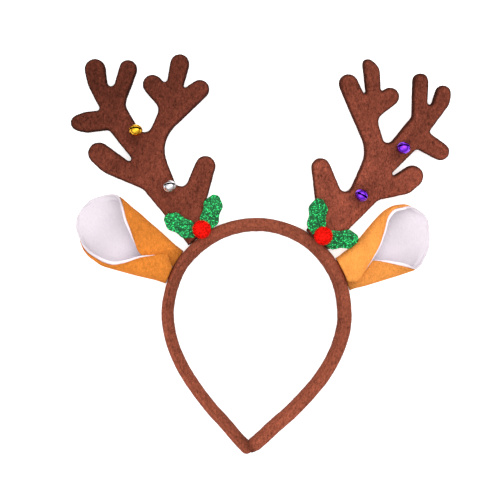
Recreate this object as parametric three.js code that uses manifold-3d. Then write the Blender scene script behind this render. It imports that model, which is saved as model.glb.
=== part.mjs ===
// Reindeer antler headband: a felt-wrapped teardrop hoop with two padded antlers, two rolled ears,
// two holly sprigs and four jingle bells.
//
// Millimetres. It lies on its back: +Z is the side that faces the viewer, z = 0 is the surface under
// it, +Y runs from the hoop's open tips to its crown and +X is the viewer's right. The origin is under
// the middle of the hoop's tube at the crown.

import * as THREE from 'three';
import { LoftGeometry } from 'three/addons/geometries/LoftGeometry.js';
import { mergeVertices } from 'three/addons/utils/BufferGeometryUtils.js';
import Module from 'manifold-3d';

const wasm = await Module();
wasm.setup();

const rad = THREE.MathUtils.degToRad;

// Clearances
const GAP = 0.3;                    // between pieces that touch on the real thing
const TIP_GAP = 0.45;               // between the hoop's two tips

// Hoop
const HOOP_RADIUS = 57.4;           // centreline radius of the round upper half
const HOOP_THICKNESS = 8.7;         // across the tube at the crown, in the hoop's plane
const LEFT_ARM_THICKNESS = 8;
const RIGHT_ARM_THICKNESS = 9.4;
const HOOP_BLEND_TURN = 65;         // degrees from the crown over which the thickness changes
const HOOP_DEPTH = 12;              // front to back
const HOOP_SQUARENESS = 2.5;        // 2 is an oval section, more is boxier
const HOOP_LEAN = 3.3;              // degrees that the open tips swing towards the viewer's left
const HOOP_TIP_ROUND = 4;           // length of a tube end's rounding
const LEFT_TIP_PAST = 2.4;          // how far the left arm runs on past the place where the two meet
const RIGHT_TIP_PAST = -1.6;
const HOOP_TIP_SHARES = [0.45, 0.75, 0.93, 0.995];
const TIP_START = 0.85;             // share of an arm's length at which its tip begins
const PLUG_LENGTH = 2;              // by which the right arm reaches into the left one at the crown
const PLUG_SIZE = 0.9;
const HOOP_SIDES = 12;
const HOOP_STEPS = 25;              // sections in each arm
const CUTTER_STEPS = 90;
const CUTTER_HEIGHT = 8 * HOOP_DEPTH;

// Antlers
const ANTLER_LENGTH = 140;
const ANTLER_THICKNESS = 10;
const ANTLER_EDGE = 3;              // width of the rounded edge, seen from the front
const ANTLER_EDGE_STEPS = 2;
const ANTLER_FLAT_WALL = 1.2;       // straight part of the side wall, where the two felt faces meet
const OUTLINE_ERROR = 0.18;         // how far a drawn arc may be from its chords
const TYPICAL_TURN = 120;           // degrees; an arc's turn is taken within half a circle of this

// Ears
const EAR_LENGTH_LEFT = 71;
const EAR_LENGTH_RIGHT = 65.5;
const EAR_HALF_WIDTH = 21.8;
const EAR_DEPTH = 22.5;             // of the open mouth
const EAR_FELT = 1.5;               // outer layer
const EAR_LINING = 1.5;             // inner layer
const EAR_SQUARENESS = 2.4;
const FLAP_APART = 120;             // degrees of curl, both sides together, at which they lie apart
const FLAP_OVER = 165;              // and at which one has risen clear over the other
const FLAP_LIFTED = 0.8;            // share of the half depth by which the front flap has risen
const EAR_WRAP_STEPS = 11;

// Holly sprigs
const LEAF_LENGTH = 23.4;
const LEAF_WIDTH = 12.4;
const LEAF_THICKNESS = 1.6;
const LEAF_WAVES = 3;               // bumps along each edge
const LEAF_WAVE_DEPTH = 0.09;       // as a share of the half width
const LEAF_SQUARENESS = 2.5;
const LEAF_STEPS = 13;
const BERRY_RADIUS = 6.2;           // over its wool
const BERRY_HEAD_RADIUS = 5.3;
const BERRY_LOCK_RADIUS = 1.7;      // where a lock leaves the head
const BERRY_LOCK_TAPER = 0.45;      // its tip as a share of that
const BERRY_LOCK_LENGTH = 2;
const BERRY_LOCKS = 20;

// Jingle bells
const BELL_RADIUS = 4;
const BELL_WALL = 0.55;
const BELL_RIM = 0.18;              // how far the seam between its halves stands out
const BELL_SLOT_WIDTH = 0.7;
const BELL_SLOT_LENGTH = 4.4;
const BELL_HOLE_RADIUS = 0.7;       // round hole at each end of the slot
const BELL_LOOP_RADIUS = 1.1;
const BELL_LOOP_WIRE = 0.35;
const BELL_LOOP_SUNK = 0.65;        // share of the loop's radius that is sunk in the ball
const BELL_SIDES = 10;
const BELL_BANDS = 6;
const PELLET_RADIUS = 1.1;
const PELLET_DROP = 0.75;           // how far down its room in the bell a pellet lies, as a share

// Hoop centreline: turn from the crown in degrees, reach as a share of HOOP_RADIUS
const HOOP_TABLE = [
  { turn: 0, reach: 1 },
  { turn: 30, reach: 1 },
  { turn: 60, reach: 1 },
  { turn: 90, reach: 1 },
  { turn: 110, reach: 1.006 },
  { turn: 130, reach: 1.038 },
  { turn: 145, reach: 1.096 },
  { turn: 158, reach: 1.195 },
  { turn: 168, reach: 1.31 },
  { turn: 175, reach: 1.44 },
  { turn: 180, reach: 1.552 },
];

// Antler outlines. Each row is a round end or a round notch that the edge runs past, in order from the
// outer side of the root over the top to the inner side. A tip is round felt, a notch is round air.
// inward, along and radius are shares of ANTLER_LENGTH; inward points towards the other antler.
const LEFT_ANTLER_TABLE = [
  { name: 'knee', kind: 'notch', inward: -0.19, along: 0.321, radius: 0.056 },
  { name: 'back tine belly', kind: 'tip', inward: -0.211, along: 0.534, radius: 0.06 },
  { name: 'back tine', kind: 'tip', inward: -0.239, along: 0.59, radius: 0.05 },
  { name: 'above back tine', kind: 'notch', inward: -0.128, along: 0.498, radius: 0.011 },
  { name: 'under low tine', kind: 'notch', inward: -0.164, along: 0.65, radius: 0.019 },
  { name: 'low tine belly', kind: 'tip', inward: -0.215, along: 0.741, radius: 0.048 },
  { name: 'low tine', kind: 'tip', inward: -0.254, along: 0.758, radius: 0.037 },
  { name: 'low tine back', kind: 'tip', inward: -0.215, along: 0.741, radius: 0.048 },
  { name: 'above low tine', kind: 'notch', inward: -0.145, along: 0.773, radius: 0.009 },
  { name: 'outer tine belly', kind: 'tip', inward: -0.073, along: 0.882, radius: 0.06 },
  { name: 'outer tine', kind: 'tip', inward: -0.069, along: 0.94, radius: 0.048 },
  { name: 'outer fork', kind: 'notch', inward: -0.033, along: 0.851, radius: 0.019 },
  { name: 'top tine', kind: 'tip', inward: 0.067, along: 0.869, radius: 0.041 },
  { name: 'top tine heel', kind: 'notch', inward: 0.023, along: 0.708, radius: 0.051 },
  { name: 'main fork', kind: 'notch', inward: 0.01, along: 0.601, radius: 0.033 },
  { name: 'inner branch heel', kind: 'notch', inward: 0.057, along: 0.658, radius: 0.048 },
  { name: 'inner low tine', kind: 'tip', inward: 0.132, along: 0.75, radius: 0.046 },
  { name: 'inner fork, far', kind: 'notch', inward: 0.192, along: 0.743, radius: 0.012 },
  { name: 'inner top tine', kind: 'tip', inward: 0.289, along: 0.776, radius: 0.044 },
  { name: 'inner fork, near', kind: 'notch', inward: 0.259, along: 0.672, radius: 0.007 },
  { name: 'inner side tine', kind: 'tip', inward: 0.315, along: 0.627, radius: 0.043 },
  { name: 'inner sweep', kind: 'notch', inward: 0.168, along: 0.386, radius: 0.151 },
  { name: 'brow fork', kind: 'notch', inward: 0.038, along: 0.301, radius: 0.033 },
  { name: 'brow tine', kind: 'tip', inward: 0.167, along: 0.302, radius: 0.047 },
  { name: 'neck', kind: 'notch', inward: 0.11, along: 0.095, radius: 0.053 },
];

const RIGHT_ANTLER_TABLE = [
  { name: 'knee', kind: 'notch', inward: -0.154, along: 0.326, radius: 0.037 },
  { name: 'back tine belly', kind: 'tip', inward: -0.166, along: 0.483, radius: 0.059 },
  { name: 'back tine', kind: 'tip', inward: -0.185, along: 0.526, radius: 0.05 },
  { name: 'above back tine', kind: 'notch', inward: -0.106, along: 0.484, radius: 0.009 },
  { name: 'under low tine', kind: 'notch', inward: -0.136, along: 0.625, radius: 0.016 },
  { name: 'low tine', kind: 'tip', inward: -0.222, along: 0.694, radius: 0.04 },
  { name: 'above low tine', kind: 'notch', inward: -0.133, along: 0.744, radius: 0.012 },
  { name: 'outer tine belly', kind: 'tip', inward: -0.041, along: 0.873, radius: 0.08 },
  { name: 'outer tine', kind: 'tip', inward: -0.068, along: 0.914, radius: 0.035 },
  { name: 'outer fork', kind: 'notch', inward: -0.043, along: 0.844, radius: 0.012 },
  { name: 'top tine', kind: 'tip', inward: 0.051, along: 0.896, radius: 0.035 },
  { name: 'top tine heel', kind: 'notch', inward: 0.006, along: 0.734, radius: 0.023 },
  { name: 'main fork', kind: 'notch', inward: 0.016, along: 0.601, radius: 0.026 },
  { name: 'inner branch heel', kind: 'notch', inward: 0.069, along: 0.654, radius: 0.038 },
  { name: 'inner low tine', kind: 'tip', inward: 0.122, along: 0.756, radius: 0.041 },
  { name: 'inner fork, near', kind: 'notch', inward: 0.172, along: 0.761, radius: 0.008 },
  { name: 'inner top tine belly', kind: 'tip', inward: 0.27, along: 0.778, radius: 0.057 },
  { name: 'inner top tine', kind: 'tip', inward: 0.293, along: 0.812, radius: 0.024 },
  { name: 'inner fork, far', kind: 'notch', inward: 0.23, along: 0.702, radius: 0.007 },
  { name: 'inner side tine', kind: 'tip', inward: 0.312, along: 0.689, radius: 0.043 },
  { name: 'inner sweep', kind: 'notch', inward: 0.182, along: 0.398, radius: 0.146 },
  { name: 'brow fork', kind: 'notch', inward: 0.043, along: 0.309, radius: 0.03 },
  { name: 'brow tine', kind: 'tip', inward: 0.186, along: 0.308, radius: 0.043 },
  { name: 'neck', kind: 'notch', inward: 0.119, along: 0.093, radius: 0.055 },
];

// Ear sections from the hoop outwards. along is a share of the ear's length, upper and lower are where
// its two sides lie and are shares of EAR_HALF_WIDTH, depth is a share of EAR_DEPTH. upperWrap and
// lowerWrap say in degrees how far each side curls over the front; below 0 it stops short of upright.
const LEFT_EAR_TABLE = [
  { along: -0.04, upper: 0.53, lower: -0.53, depth: 0.37, upperWrap: 97, lowerWrap: 78 },
  { along: 0.05, upper: 0.58, lower: -0.58, depth: 0.37, upperWrap: 97, lowerWrap: 101 },
  { along: 0.1, upper: 0.61, lower: -0.61, depth: 0.38, upperWrap: 97, lowerWrap: 112 },
  { along: 0.18, upper: 0.68, lower: -0.68, depth: 0.43, upperWrap: 97, lowerWrap: 96 },
  { along: 0.3, upper: 0.78, lower: -0.78, depth: 0.54, upperWrap: 97, lowerWrap: 80 },
  { along: 0.42, upper: 0.87, lower: -0.87, depth: 0.68, upperWrap: 84, lowerWrap: 51 },
  { along: 0.5, upper: 0.94, lower: -0.93, depth: 0.8, upperWrap: 71, lowerWrap: 32 },
  { along: 0.58, upper: 0.99, lower: -0.97, depth: 0.91, upperWrap: 56, lowerWrap: 31 },
  { along: 0.66, upper: 1.06, lower: -0.94, depth: 0.98, upperWrap: 34, lowerWrap: 29 },
  { along: 0.72, upper: 1.1, lower: -0.91, depth: 1, upperWrap: 15, lowerWrap: 27 },
  { along: 0.79, upper: 1.08, lower: -0.81, depth: 0.96, upperWrap: -5, lowerWrap: 18 },
  { along: 0.853, upper: 0.97, lower: -0.68, depth: 0.88, upperWrap: -20, lowerWrap: 0 },
  { along: 0.908, upper: 0.81, lower: -0.54, depth: 0.78, upperWrap: -30, lowerWrap: -15 },
  { along: 0.954, upper: 0.66, lower: -0.385, depth: 0.65, upperWrap: -40, lowerWrap: -30 },
  { along: 0.984, upper: 0.46, lower: -0.22, depth: 0.5, upperWrap: -50, lowerWrap: -45 },
  { along: 1, upper: 0.25, lower: -0.09, depth: 0.38, upperWrap: -55, lowerWrap: -55 },
];

const RIGHT_EAR_TABLE = [
  { along: -0.04, upper: 0.51, lower: -0.51, depth: 0.37, upperWrap: 103, lowerWrap: 90 },
  { along: 0.06, upper: 0.53, lower: -0.56, depth: 0.37, upperWrap: 129, lowerWrap: 90 },
  { along: 0.105, upper: 0.55, lower: -0.61, depth: 0.38, upperWrap: 127, lowerWrap: 90 },
  { along: 0.187, upper: 0.57, lower: -0.68, depth: 0.43, upperWrap: 108, lowerWrap: 90 },
  { along: 0.307, upper: 0.67, lower: -0.77, depth: 0.54, upperWrap: 92, lowerWrap: 88 },
  { along: 0.39, upper: 0.76, lower: -0.83, depth: 0.63, upperWrap: 85, lowerWrap: 76 },
  { along: 0.47, upper: 0.845, lower: -0.885, depth: 0.74, upperWrap: 76, lowerWrap: 61 },
  { along: 0.57, upper: 0.94, lower: -0.95, depth: 0.88, upperWrap: 59, lowerWrap: 35 },
  { along: 0.64, upper: 0.99, lower: -1, depth: 0.96, upperWrap: 42, lowerWrap: 0 },
  { along: 0.7, upper: 1, lower: -0.96, depth: 1, upperWrap: 31, lowerWrap: -8 },
  { along: 0.75, upper: 0.99, lower: -0.885, depth: 1, upperWrap: 25, lowerWrap: -16 },
  { along: 0.815, upper: 0.92, lower: -0.775, depth: 0.96, upperWrap: 23, lowerWrap: -24 },
  { along: 0.877, upper: 0.82, lower: -0.625, depth: 0.88, upperWrap: 15, lowerWrap: -32 },
  { along: 0.934, upper: 0.64, lower: -0.38, depth: 0.75, upperWrap: -10, lowerWrap: -40 },
  { along: 0.974, upper: 0.46, lower: -0.16, depth: 0.56, upperWrap: -30, lowerWrap: -50 },
  { along: 1, upper: 0.27, lower: 0.03, depth: 0.4, upperWrap: -55, lowerWrap: -55 },
];

// What each side carries. turn is where it sits on the hoop, in degrees from the crown. Places on an
// antler are in its own frame: x to the viewer's right and along, both as shares of ANTLER_LENGTH for
// the bells and in millimetres for the sprig. tilt lowers the antler's outer edge, pitch lifts its far
// end. A bell's tip turns its slot up the antler and roll turns the slot about the bell's middle.
const SIDES = [
  {
    name: 'left',
    sign: -1,
    antler: { table: LEFT_ANTLER_TABLE, turn: 35.5, lean: 28.5, tilt: 0, pitch: 0, rootTurn: 10.5 },
    berry: { x: 1.9, along: 6.8 },
    leaves: [
      { role: 'low', x: -9.1, along: 15.8, turn: 121 },
      { role: 'high', x: 12.4, along: 13.8, turn: 46 },
    ],
    bells: [
      { name: 'gold', x: -0.036, along: 0.594, tip: 20, roll: 0 },
      { name: 'silver', x: -0.022, along: 0.293, tip: 28, roll: 5 },
    ],
    ear: { table: LEFT_EAR_TABLE, length: EAR_LENGTH_LEFT, turn: 61.2, cant: 0.8, front: 'lower' },
  },
  {
    name: 'right',
    sign: 1,
    antler: { table: RIGHT_ANTLER_TABLE, turn: 40, lean: 36.3, tilt: 9, pitch: 4, rootTurn: 10 },
    berry: { x: -0.6, along: 8.9 },
    leaves: [
      { role: 'high', x: -9.9, along: 16.5, turn: 120 },
      { role: 'low', x: 11.3, along: 13.3, turn: 39 },
    ],
    bells: [
      { name: 'purple_high', x: 0.057, along: 0.602, tip: 35, roll: 0 },
      { name: 'purple_low', x: 0.03, along: 0.316, tip: 8, roll: -28 },
    ],
    ear: { table: RIGHT_EAR_TABLE, length: EAR_LENGTH_RIGHT, turn: 66.1, cant: -7.1, front: 'upper' },
  },
];

// Materials
const felt = (colour) => new THREE.MeshStandardMaterial({ color: colour, roughness: 0.95, metalness: 0 });
const metal = (colour) => new THREE.MeshStandardMaterial({ color: colour, roughness: 0.2, metalness: 1 });
const MATERIALS = {
  hoop: felt('#8a4a38'),
  antler: felt('#7d3e30'),
  ear: felt('#eb8c32'),
  lining: felt('#eee2ee'),
  leaf: felt('#198c46'),
  berry: felt('#f01a12'),
  gold: metal('#e8b020'),
  silver: metal('#c8c8cc'),
  purple: metal('#6a22d8'),
  pellet: metal('#8c8c90'),
};

// Solids

function solidOf(geometry) {
  const bare = new THREE.BufferGeometry();
  bare.setAttribute('position', geometry.getAttribute('position'));
  bare.setIndex(geometry.getIndex());
  const merged = mergeVertices(bare, 1e-4);
  const vertProperties = Float32Array.from(merged.attributes.position.array);
  const triVerts = Uint32Array.from(merged.index.array);
  return new wasm.Manifold(new wasm.Mesh({ numProp: 3, vertProperties, triVerts }));
}

function geometryOf(solid) {
  const mesh = solid.getMesh();
  const geometry = new THREE.BufferGeometry();
  geometry.setAttribute('position', new THREE.BufferAttribute(mesh.vertProperties, 3));
  geometry.setIndex(new THREE.BufferAttribute(mesh.triVerts, 1));
  geometry.computeVertexNormals();
  return geometry;
}

function join(geometries) {
  const [first, ...rest] = geometries.map(solidOf);
  return geometryOf(rest.reduce((whole, solid) => whole.add(solid), first));
}

function cut(geometry, cutters) {
  return geometryOf(cutters.map(solidOf).reduce((left, solid) => left.subtract(solid), solidOf(geometry)));
}

function named(name, geometry, material) {
  const mesh = new THREE.Mesh(geometry, material);
  mesh.name = name;
  return mesh;
}

// A superellipse's cosine and sine
const shaped = (value, squareness) => Math.sign(value) * Math.abs(value) ** (2 / squareness);

// Hoop

// The whole centreline, from the left arm's tip over the crown to the right arm's
function hoopLine() {
  const place = (turn, reach) => {
    const angle = rad(turn + HOOP_LEAN);
    const radius = HOOP_RADIUS * reach;
    return new THREE.Vector3(radius * Math.sin(angle), radius * Math.cos(angle) - HOOP_RADIUS, 0);
  };
  const right = HOOP_TABLE.map(({ turn, reach }) => place(turn, reach));
  const left = HOOP_TABLE.slice(1).map(({ turn, reach }) => place(-turn, reach));
  return new THREE.CatmullRomCurve3([...left.reverse(), ...right]);
}

// Half the tube's thickness at a distance from the crown along an arm
function halfThickness(sign, distance) {
  const end = sign < 0 ? LEFT_ARM_THICKNESS : RIGHT_ARM_THICKNESS;
  const share = THREE.MathUtils.smoothstep(distance, 0, HOOP_RADIUS * rad(HOOP_BLEND_TURN));
  return THREE.MathUtils.lerp(HOOP_THICKNESS, end, share) / 2;
}

// A point on the round part of the hoop, offset outwards from the centreline
function hoopPoint(turn, offset = 0) {
  const radius = HOOP_RADIUS + offset;
  return new THREE.Vector2(radius * Math.sin(rad(turn)), radius * Math.cos(rad(turn)) - HOOP_RADIUS);
}

// How far the tube's outer edge is from its centreline at a turn from the crown
function hoopEdge(turn) {
  return halfThickness(Math.sign(turn), HOOP_RADIUS * rad(Math.abs(turn)));
}

// The tube's section at a place on an arm: a soft box whose lowest side lies flat on z = 0. size shrinks
// it towards its middle and grow widens it.
function hoopSection(centre, outward, halfWidth, size, grow) {
  const halfStep = Math.PI / HOOP_SIDES;
  const halfHeight = HOOP_DEPTH / 2 / shaped(Math.cos(halfStep), HOOP_SQUARENESS);
  return Array.from({ length: HOOP_SIDES }, (_, i) => {
    const angle = halfStep * (2 * i + 1);
    const across = shaped(Math.cos(angle), HOOP_SQUARENESS) * (halfWidth * size + grow);
    const up = shaped(Math.sin(angle), HOOP_SQUARENESS) * (halfHeight * size + grow);
    return outward.clone().multiplyScalar(across).add(centre).setZ(HOOP_DEPTH / 2 + up);
  });
}

// One arm to its rounded tip, from the share start of its length. sign is -1 for the left arm and 1
// for the right. plug is a length by which it reaches into its neighbour, a little thinner.
function armLoft(sign, start, past, grow, plug = 0) {
  const line = hoopLine();
  const half = line.getLength() / 2;
  const length = half + past;
  const sectionAt = (distance, size) => {
    const u = THREE.MathUtils.clamp(0.5 + sign * distance / half / 2, 0, 1);
    const tangent = line.getTangentAt(u);
    const outward = new THREE.Vector3(-tangent.y, tangent.x, 0).normalize();
    const centre = line.getPointAt(u).addScaledVector(tangent, sign * Math.max(0, distance - half));
    return hoopSection(centre, outward, halfThickness(sign, distance), size, grow);
  };
  const sections = plug > 0 ? [sectionAt(-plug, PLUG_SIZE)] : [];
  for (let i = 0; i <= HOOP_STEPS; i += 1) {
    const share = THREE.MathUtils.lerp(start, 1, i / HOOP_STEPS);
    sections.push(sectionAt((length - HOOP_TIP_ROUND) * share, 1));
  }
  for (const share of HOOP_TIP_SHARES) {
    sections.push(sectionAt(length - HOOP_TIP_ROUND * (1 - share), Math.sqrt(1 - share * share)));
  }
  if (sign < 0) {
    sections.forEach((section) => section.reverse());
  }
  return new LoftGeometry(sections, { closed: true, capStart: true, capEnd: true });
}

function hoop() {
  const tipRoom = armLoft(1, TIP_START, RIGHT_TIP_PAST, TIP_GAP);
  const left = cut(armLoft(-1, 0, LEFT_TIP_PAST, 0), [tipRoom]);
  return join([left, armLoft(1, 0, RIGHT_TIP_PAST, 0, PLUG_LENGTH)]);
}

// Everything inside the hoop's outer edge, a gap wider. What is sewn to the hoop is cut off by it.
function hoopCutter() {
  const edge = Array.from({ length: CUTTER_STEPS }, (_, i) => {
    const turn = 360 * i / CUTTER_STEPS - 180;
    return hoopPoint(turn, hoopEdge(turn) + GAP);
  });
  const cutter = new THREE.ExtrudeGeometry(new THREE.Shape(edge), { depth: CUTTER_HEIGHT, bevelEnabled: false });
  return cutter.translate(0, 0, -CUTTER_HEIGHT / 2);
}

// Takes the hoop's room out of a geometry that a placed group will hold
function clearOfHoop(geometry, group) {
  group.updateMatrixWorld(true);
  const cutter = hoopCutter().applyMatrix4(group.matrixWorld.clone().invert());
  return cut(geometry, [cutter]);
}

// Antlers

// The edge that runs past a list of circles in order, clockwise: outside each tip, inside each notch,
// straight along the common tangent between two neighbours. Each point comes with its outward normal.
function beltOutline(circles) {
  const side = ({ kind, radius }) => (kind === 'tip' ? radius : -radius);
  const links = circles.map((from, i) => {
    const to = circles[(i + 1) % circles.length];
    const line = new THREE.Vector2(to.x - from.x, to.y - from.y);
    const across = side(from) - side(to);
    const straight = Math.sqrt(Math.max(line.lengthSq() - across * across, 0));
    return line.angle() - Math.atan2(across, straight);
  });
  return circles.flatMap((circle, i) => {
    const arrive = links[(i + circles.length - 1) % circles.length];
    const usual = circle.kind === 'tip' ? -rad(TYPICAL_TURN) : rad(TYPICAL_TURN);
    const turn = usual + THREE.MathUtils.euclideanModulo(links[i] - arrive - usual + Math.PI, 2 * Math.PI) - Math.PI;
    if (circle.radius === 0) {
      const normal = new THREE.Vector2(-Math.sin(arrive + turn / 2), Math.cos(arrive + turn / 2));
      return [{ place: new THREE.Vector2(circle.x, circle.y), normal: normal.divideScalar(Math.cos(turn / 2)) }];
    }
    const steps = Math.max(1, Math.ceil(Math.abs(turn) / Math.sqrt(8 * OUTLINE_ERROR / circle.radius)));
    return Array.from({ length: steps + 1 }, (_, k) => {
      const direction = arrive + turn * k / steps;
      const normal = new THREE.Vector2(-Math.sin(direction), Math.cos(direction));
      const place = new THREE.Vector2(circle.x, circle.y).addScaledVector(normal, side(circle));
      return { place, normal };
    });
  });
}

// A padded felt shape in its own frame: x to the right, y along, z = 0 at the middle of its thickness.
// Its faces are flat and its edge is a quarter of an ellipse on either side of a straight wall.
function antlerPad({ table, turn, lean, rootTurn }, sign) {
  const origin = hoopPoint(sign * turn);
  const corner = (at) => {
    const place = hoopPoint(sign * at).sub(origin).rotateAround(new THREE.Vector2(), rad(sign * lean));
    return { kind: 'tip', x: -sign * place.x, y: place.y, radius: 0 };
  };
  const rows = table.map(({ kind, inward, along, radius }) => ({
    kind,
    x: inward * ANTLER_LENGTH,
    y: along * ANTLER_LENGTH,
    radius: radius * ANTLER_LENGTH,
  }));
  const outline = beltOutline([corner(turn + rootTurn), ...rows, corner(turn - rootTurn)]);
  const ring = (inset, z) => {
    const points = outline.map(({ place, normal }) => {
      const point = place.clone().addScaledVector(normal, -inset);
      return new THREE.Vector3(-sign * point.x, point.y, z);
    });
    return sign < 0 ? points.reverse() : points;
  };
  const rise = (ANTLER_THICKNESS - ANTLER_FLAT_WALL) / 2;
  const edge = Array.from({ length: ANTLER_EDGE_STEPS + 1 }, (_, k) => {
    const angle = Math.PI / 2 * k / ANTLER_EDGE_STEPS;
    return { inset: ANTLER_EDGE * (1 - Math.sin(angle)), height: ANTLER_FLAT_WALL / 2 + rise * Math.cos(angle) };
  });
  const rings = [
    ...edge.map(({ inset, height }) => ring(inset, -height)),
    ...edge.reverse().map(({ inset, height }) => ring(inset, height)),
  ];
  return new LoftGeometry(rings, { closed: true, capStart: true, capEnd: true });
}

// Ears

// One layer of an ear, between two depths under its outer face, as a loft of C-shaped sections.
// The flap named by front passes over the other one near the hoop.
function earLayer({ table, length, front }, sign, outerDepth, innerDepth) {
  const total = EAR_FELT + GAP + EAR_LINING;
  const sections = table.map((row) => {
    const upper = row.upper * EAR_HALF_WIDTH;
    const lower = row.lower * EAR_HALF_WIDTH;
    const middle = (upper + lower) / 2;
    const halfWidth = (upper - lower) / 2;
    const halfDepth = row.depth * EAR_DEPTH / 2;
    const open = (wrap) => (wrap < 0 ? shaped(Math.cos(rad(wrap)), EAR_SQUARENESS) : 1);
    const overlap = (row.upperWrap + row.lowerWrap - FLAP_APART) / (FLAP_OVER - FLAP_APART);
    const lift = (total + 3 * GAP) * THREE.MathUtils.clamp(overlap, 0, 1);
    const outline = (depth) => {
      const points = [];
      for (let i = 0; i <= EAR_WRAP_STEPS; i += 1) {
        const share = i / EAR_WRAP_STEPS;
        const angle = THREE.MathUtils.lerp(180 - row.lowerWrap, 360 + row.upperWrap, share);
        const cosine = shaped(Math.cos(rad(angle)), EAR_SQUARENESS);
        const sine = shaped(Math.sin(rad(angle)), EAR_SQUARENESS);
        const reach = cosine > 0 ? open(row.upperWrap) : open(row.lowerWrap);
        const y = middle + cosine * (halfWidth / reach - depth);
        const inFront = front === 'lower' ? angle < 180 : angle > 360;
        const curl = inFront ? Math.min(1, Math.abs(sine) / FLAP_LIFTED) : 0;
        const z = halfDepth + sine * (halfDepth - depth) + lift * curl;
        points.push(new THREE.Vector3(row.along * length, sign * y, z));
      }
      return points;
    };
    const loop = [...outline(outerDepth), ...outline(innerDepth).reverse()];
    return sign > 0 ? loop : loop.reverse();
  });
  return new LoftGeometry(sections, { closed: true, capStart: true, capEnd: true });
}

// The same solid seen in a mirror that stands along x
function mirrored(geometry) {
  const { array } = geometry.getIndex();
  for (let i = 0; i < array.length; i += 3) {
    [array[i], array[i + 1]] = [array[i + 1], array[i]];
  }
  return geometry.scale(1, -1, 1);
}

// Sprigs and bells

// A blunt leaf with a wavy edge, its middle at the origin and its length along x
function leaf() {
  const edge = [];
  const half = LEAF_LENGTH / 2;
  for (let i = 0; i <= LEAF_STEPS; i += 1) {
    const share = i / LEAF_STEPS;
    const angle = Math.PI * (1 - share);
    const wave = 1 + LEAF_WAVE_DEPTH * Math.cos(2 * Math.PI * LEAF_WAVES * share);
    const bulge = shaped(Math.sin(angle), LEAF_SQUARENESS);
    edge.push(new THREE.Vector2(half * Math.cos(angle), LEAF_WIDTH / 2 * bulge * wave));
  }
  const underside = edge.slice(1, -1).reverse().map((point) => new THREE.Vector2(point.x, -point.y));
  const shape = new THREE.Shape([...edge, ...underside]);
  return new THREE.ExtrudeGeometry(shape, { depth: LEAF_THICKNESS, bevelEnabled: false });
}

// A wool ball: short locks fused to a round head, spread evenly over it
function pompom() {
  const head = new THREE.IcosahedronGeometry(BERRY_HEAD_RADIUS, 1);
  const golden = Math.PI * (3 - Math.sqrt(5));
  const tipRadius = BERRY_LOCK_RADIUS * BERRY_LOCK_TAPER;
  const locks = [];
  for (let i = 0; i < BERRY_LOCKS; i += 1) {
    const z = 1 - (2 * i + 1) / BERRY_LOCKS;
    const flat = Math.sqrt(1 - z * z);
    const direction = new THREE.Vector3(flat * Math.cos(golden * i), flat * Math.sin(golden * i), z);
    const lock = new THREE.CylinderGeometry(tipRadius, BERRY_LOCK_RADIUS, BERRY_LOCK_LENGTH, 4);
    lock.applyQuaternion(new THREE.Quaternion().setFromUnitVectors(new THREE.Vector3(0, 1, 0), direction));
    const { x, y, z: up } = direction.multiplyScalar(BERRY_RADIUS - BERRY_LOCK_LENGTH / 2);
    locks.push(lock.translate(x, y, up));
  }
  return join([head, ...locks]);
}

// A hollow ball in two pressed halves with a slot across its front and a wire loop behind
function bell() {
  const profile = Array.from({ length: BELL_BANDS + 1 }, (_, i) => {
    const angle = Math.PI * (i / BELL_BANDS - 0.5);
    const rim = i === BELL_BANDS / 2 ? BELL_RIM : 0;
    const pole = i === 0 || i === BELL_BANDS;
    return new THREE.Vector2(pole ? 0 : (BELL_RADIUS + rim) * Math.cos(angle), BELL_RADIUS * Math.sin(angle));
  });
  const shell = new THREE.LatheGeometry(profile, BELL_SIDES).rotateX(Math.PI / 2);
  const inside = new THREE.SphereGeometry(BELL_RADIUS - BELL_WALL, BELL_SIDES, BELL_BANDS).rotateX(Math.PI / 2);
  const slot = new THREE.BoxGeometry(BELL_SLOT_LENGTH, BELL_SLOT_WIDTH, BELL_RADIUS);
  slot.translate(0, 0, BELL_RADIUS);
  const holes = [-1, 1].map((end) => {
    const hole = new THREE.CylinderGeometry(BELL_HOLE_RADIUS, BELL_HOLE_RADIUS, BELL_RADIUS, 6);
    return hole.rotateX(Math.PI / 2).translate(end * BELL_SLOT_LENGTH / 2, 0, BELL_RADIUS);
  });
  const loop = new THREE.TorusGeometry(BELL_LOOP_RADIUS, BELL_LOOP_WIRE, 5, 8).rotateX(Math.PI / 2);
  loop.translate(0, 0, -BELL_RADIUS - BELL_LOOP_RADIUS * (1 - BELL_LOOP_SUNK));
  const looped = geometryOf(solidOf(shell).add(solidOf(loop)));
  return cut(looped, [inside, slot, ...holes]);
}

// Assembly

const headband = new THREE.Group();
headband.add(named('band', hoop(), MATERIALS.hoop));

// Lowers or lifts a group until its lowest point rests at a height
function restAt(group, height) {
  group.updateMatrixWorld(true);
  const lowest = new THREE.Box3().setFromObject(group, true).min.z;
  group.position.z += height - lowest;
}

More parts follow.
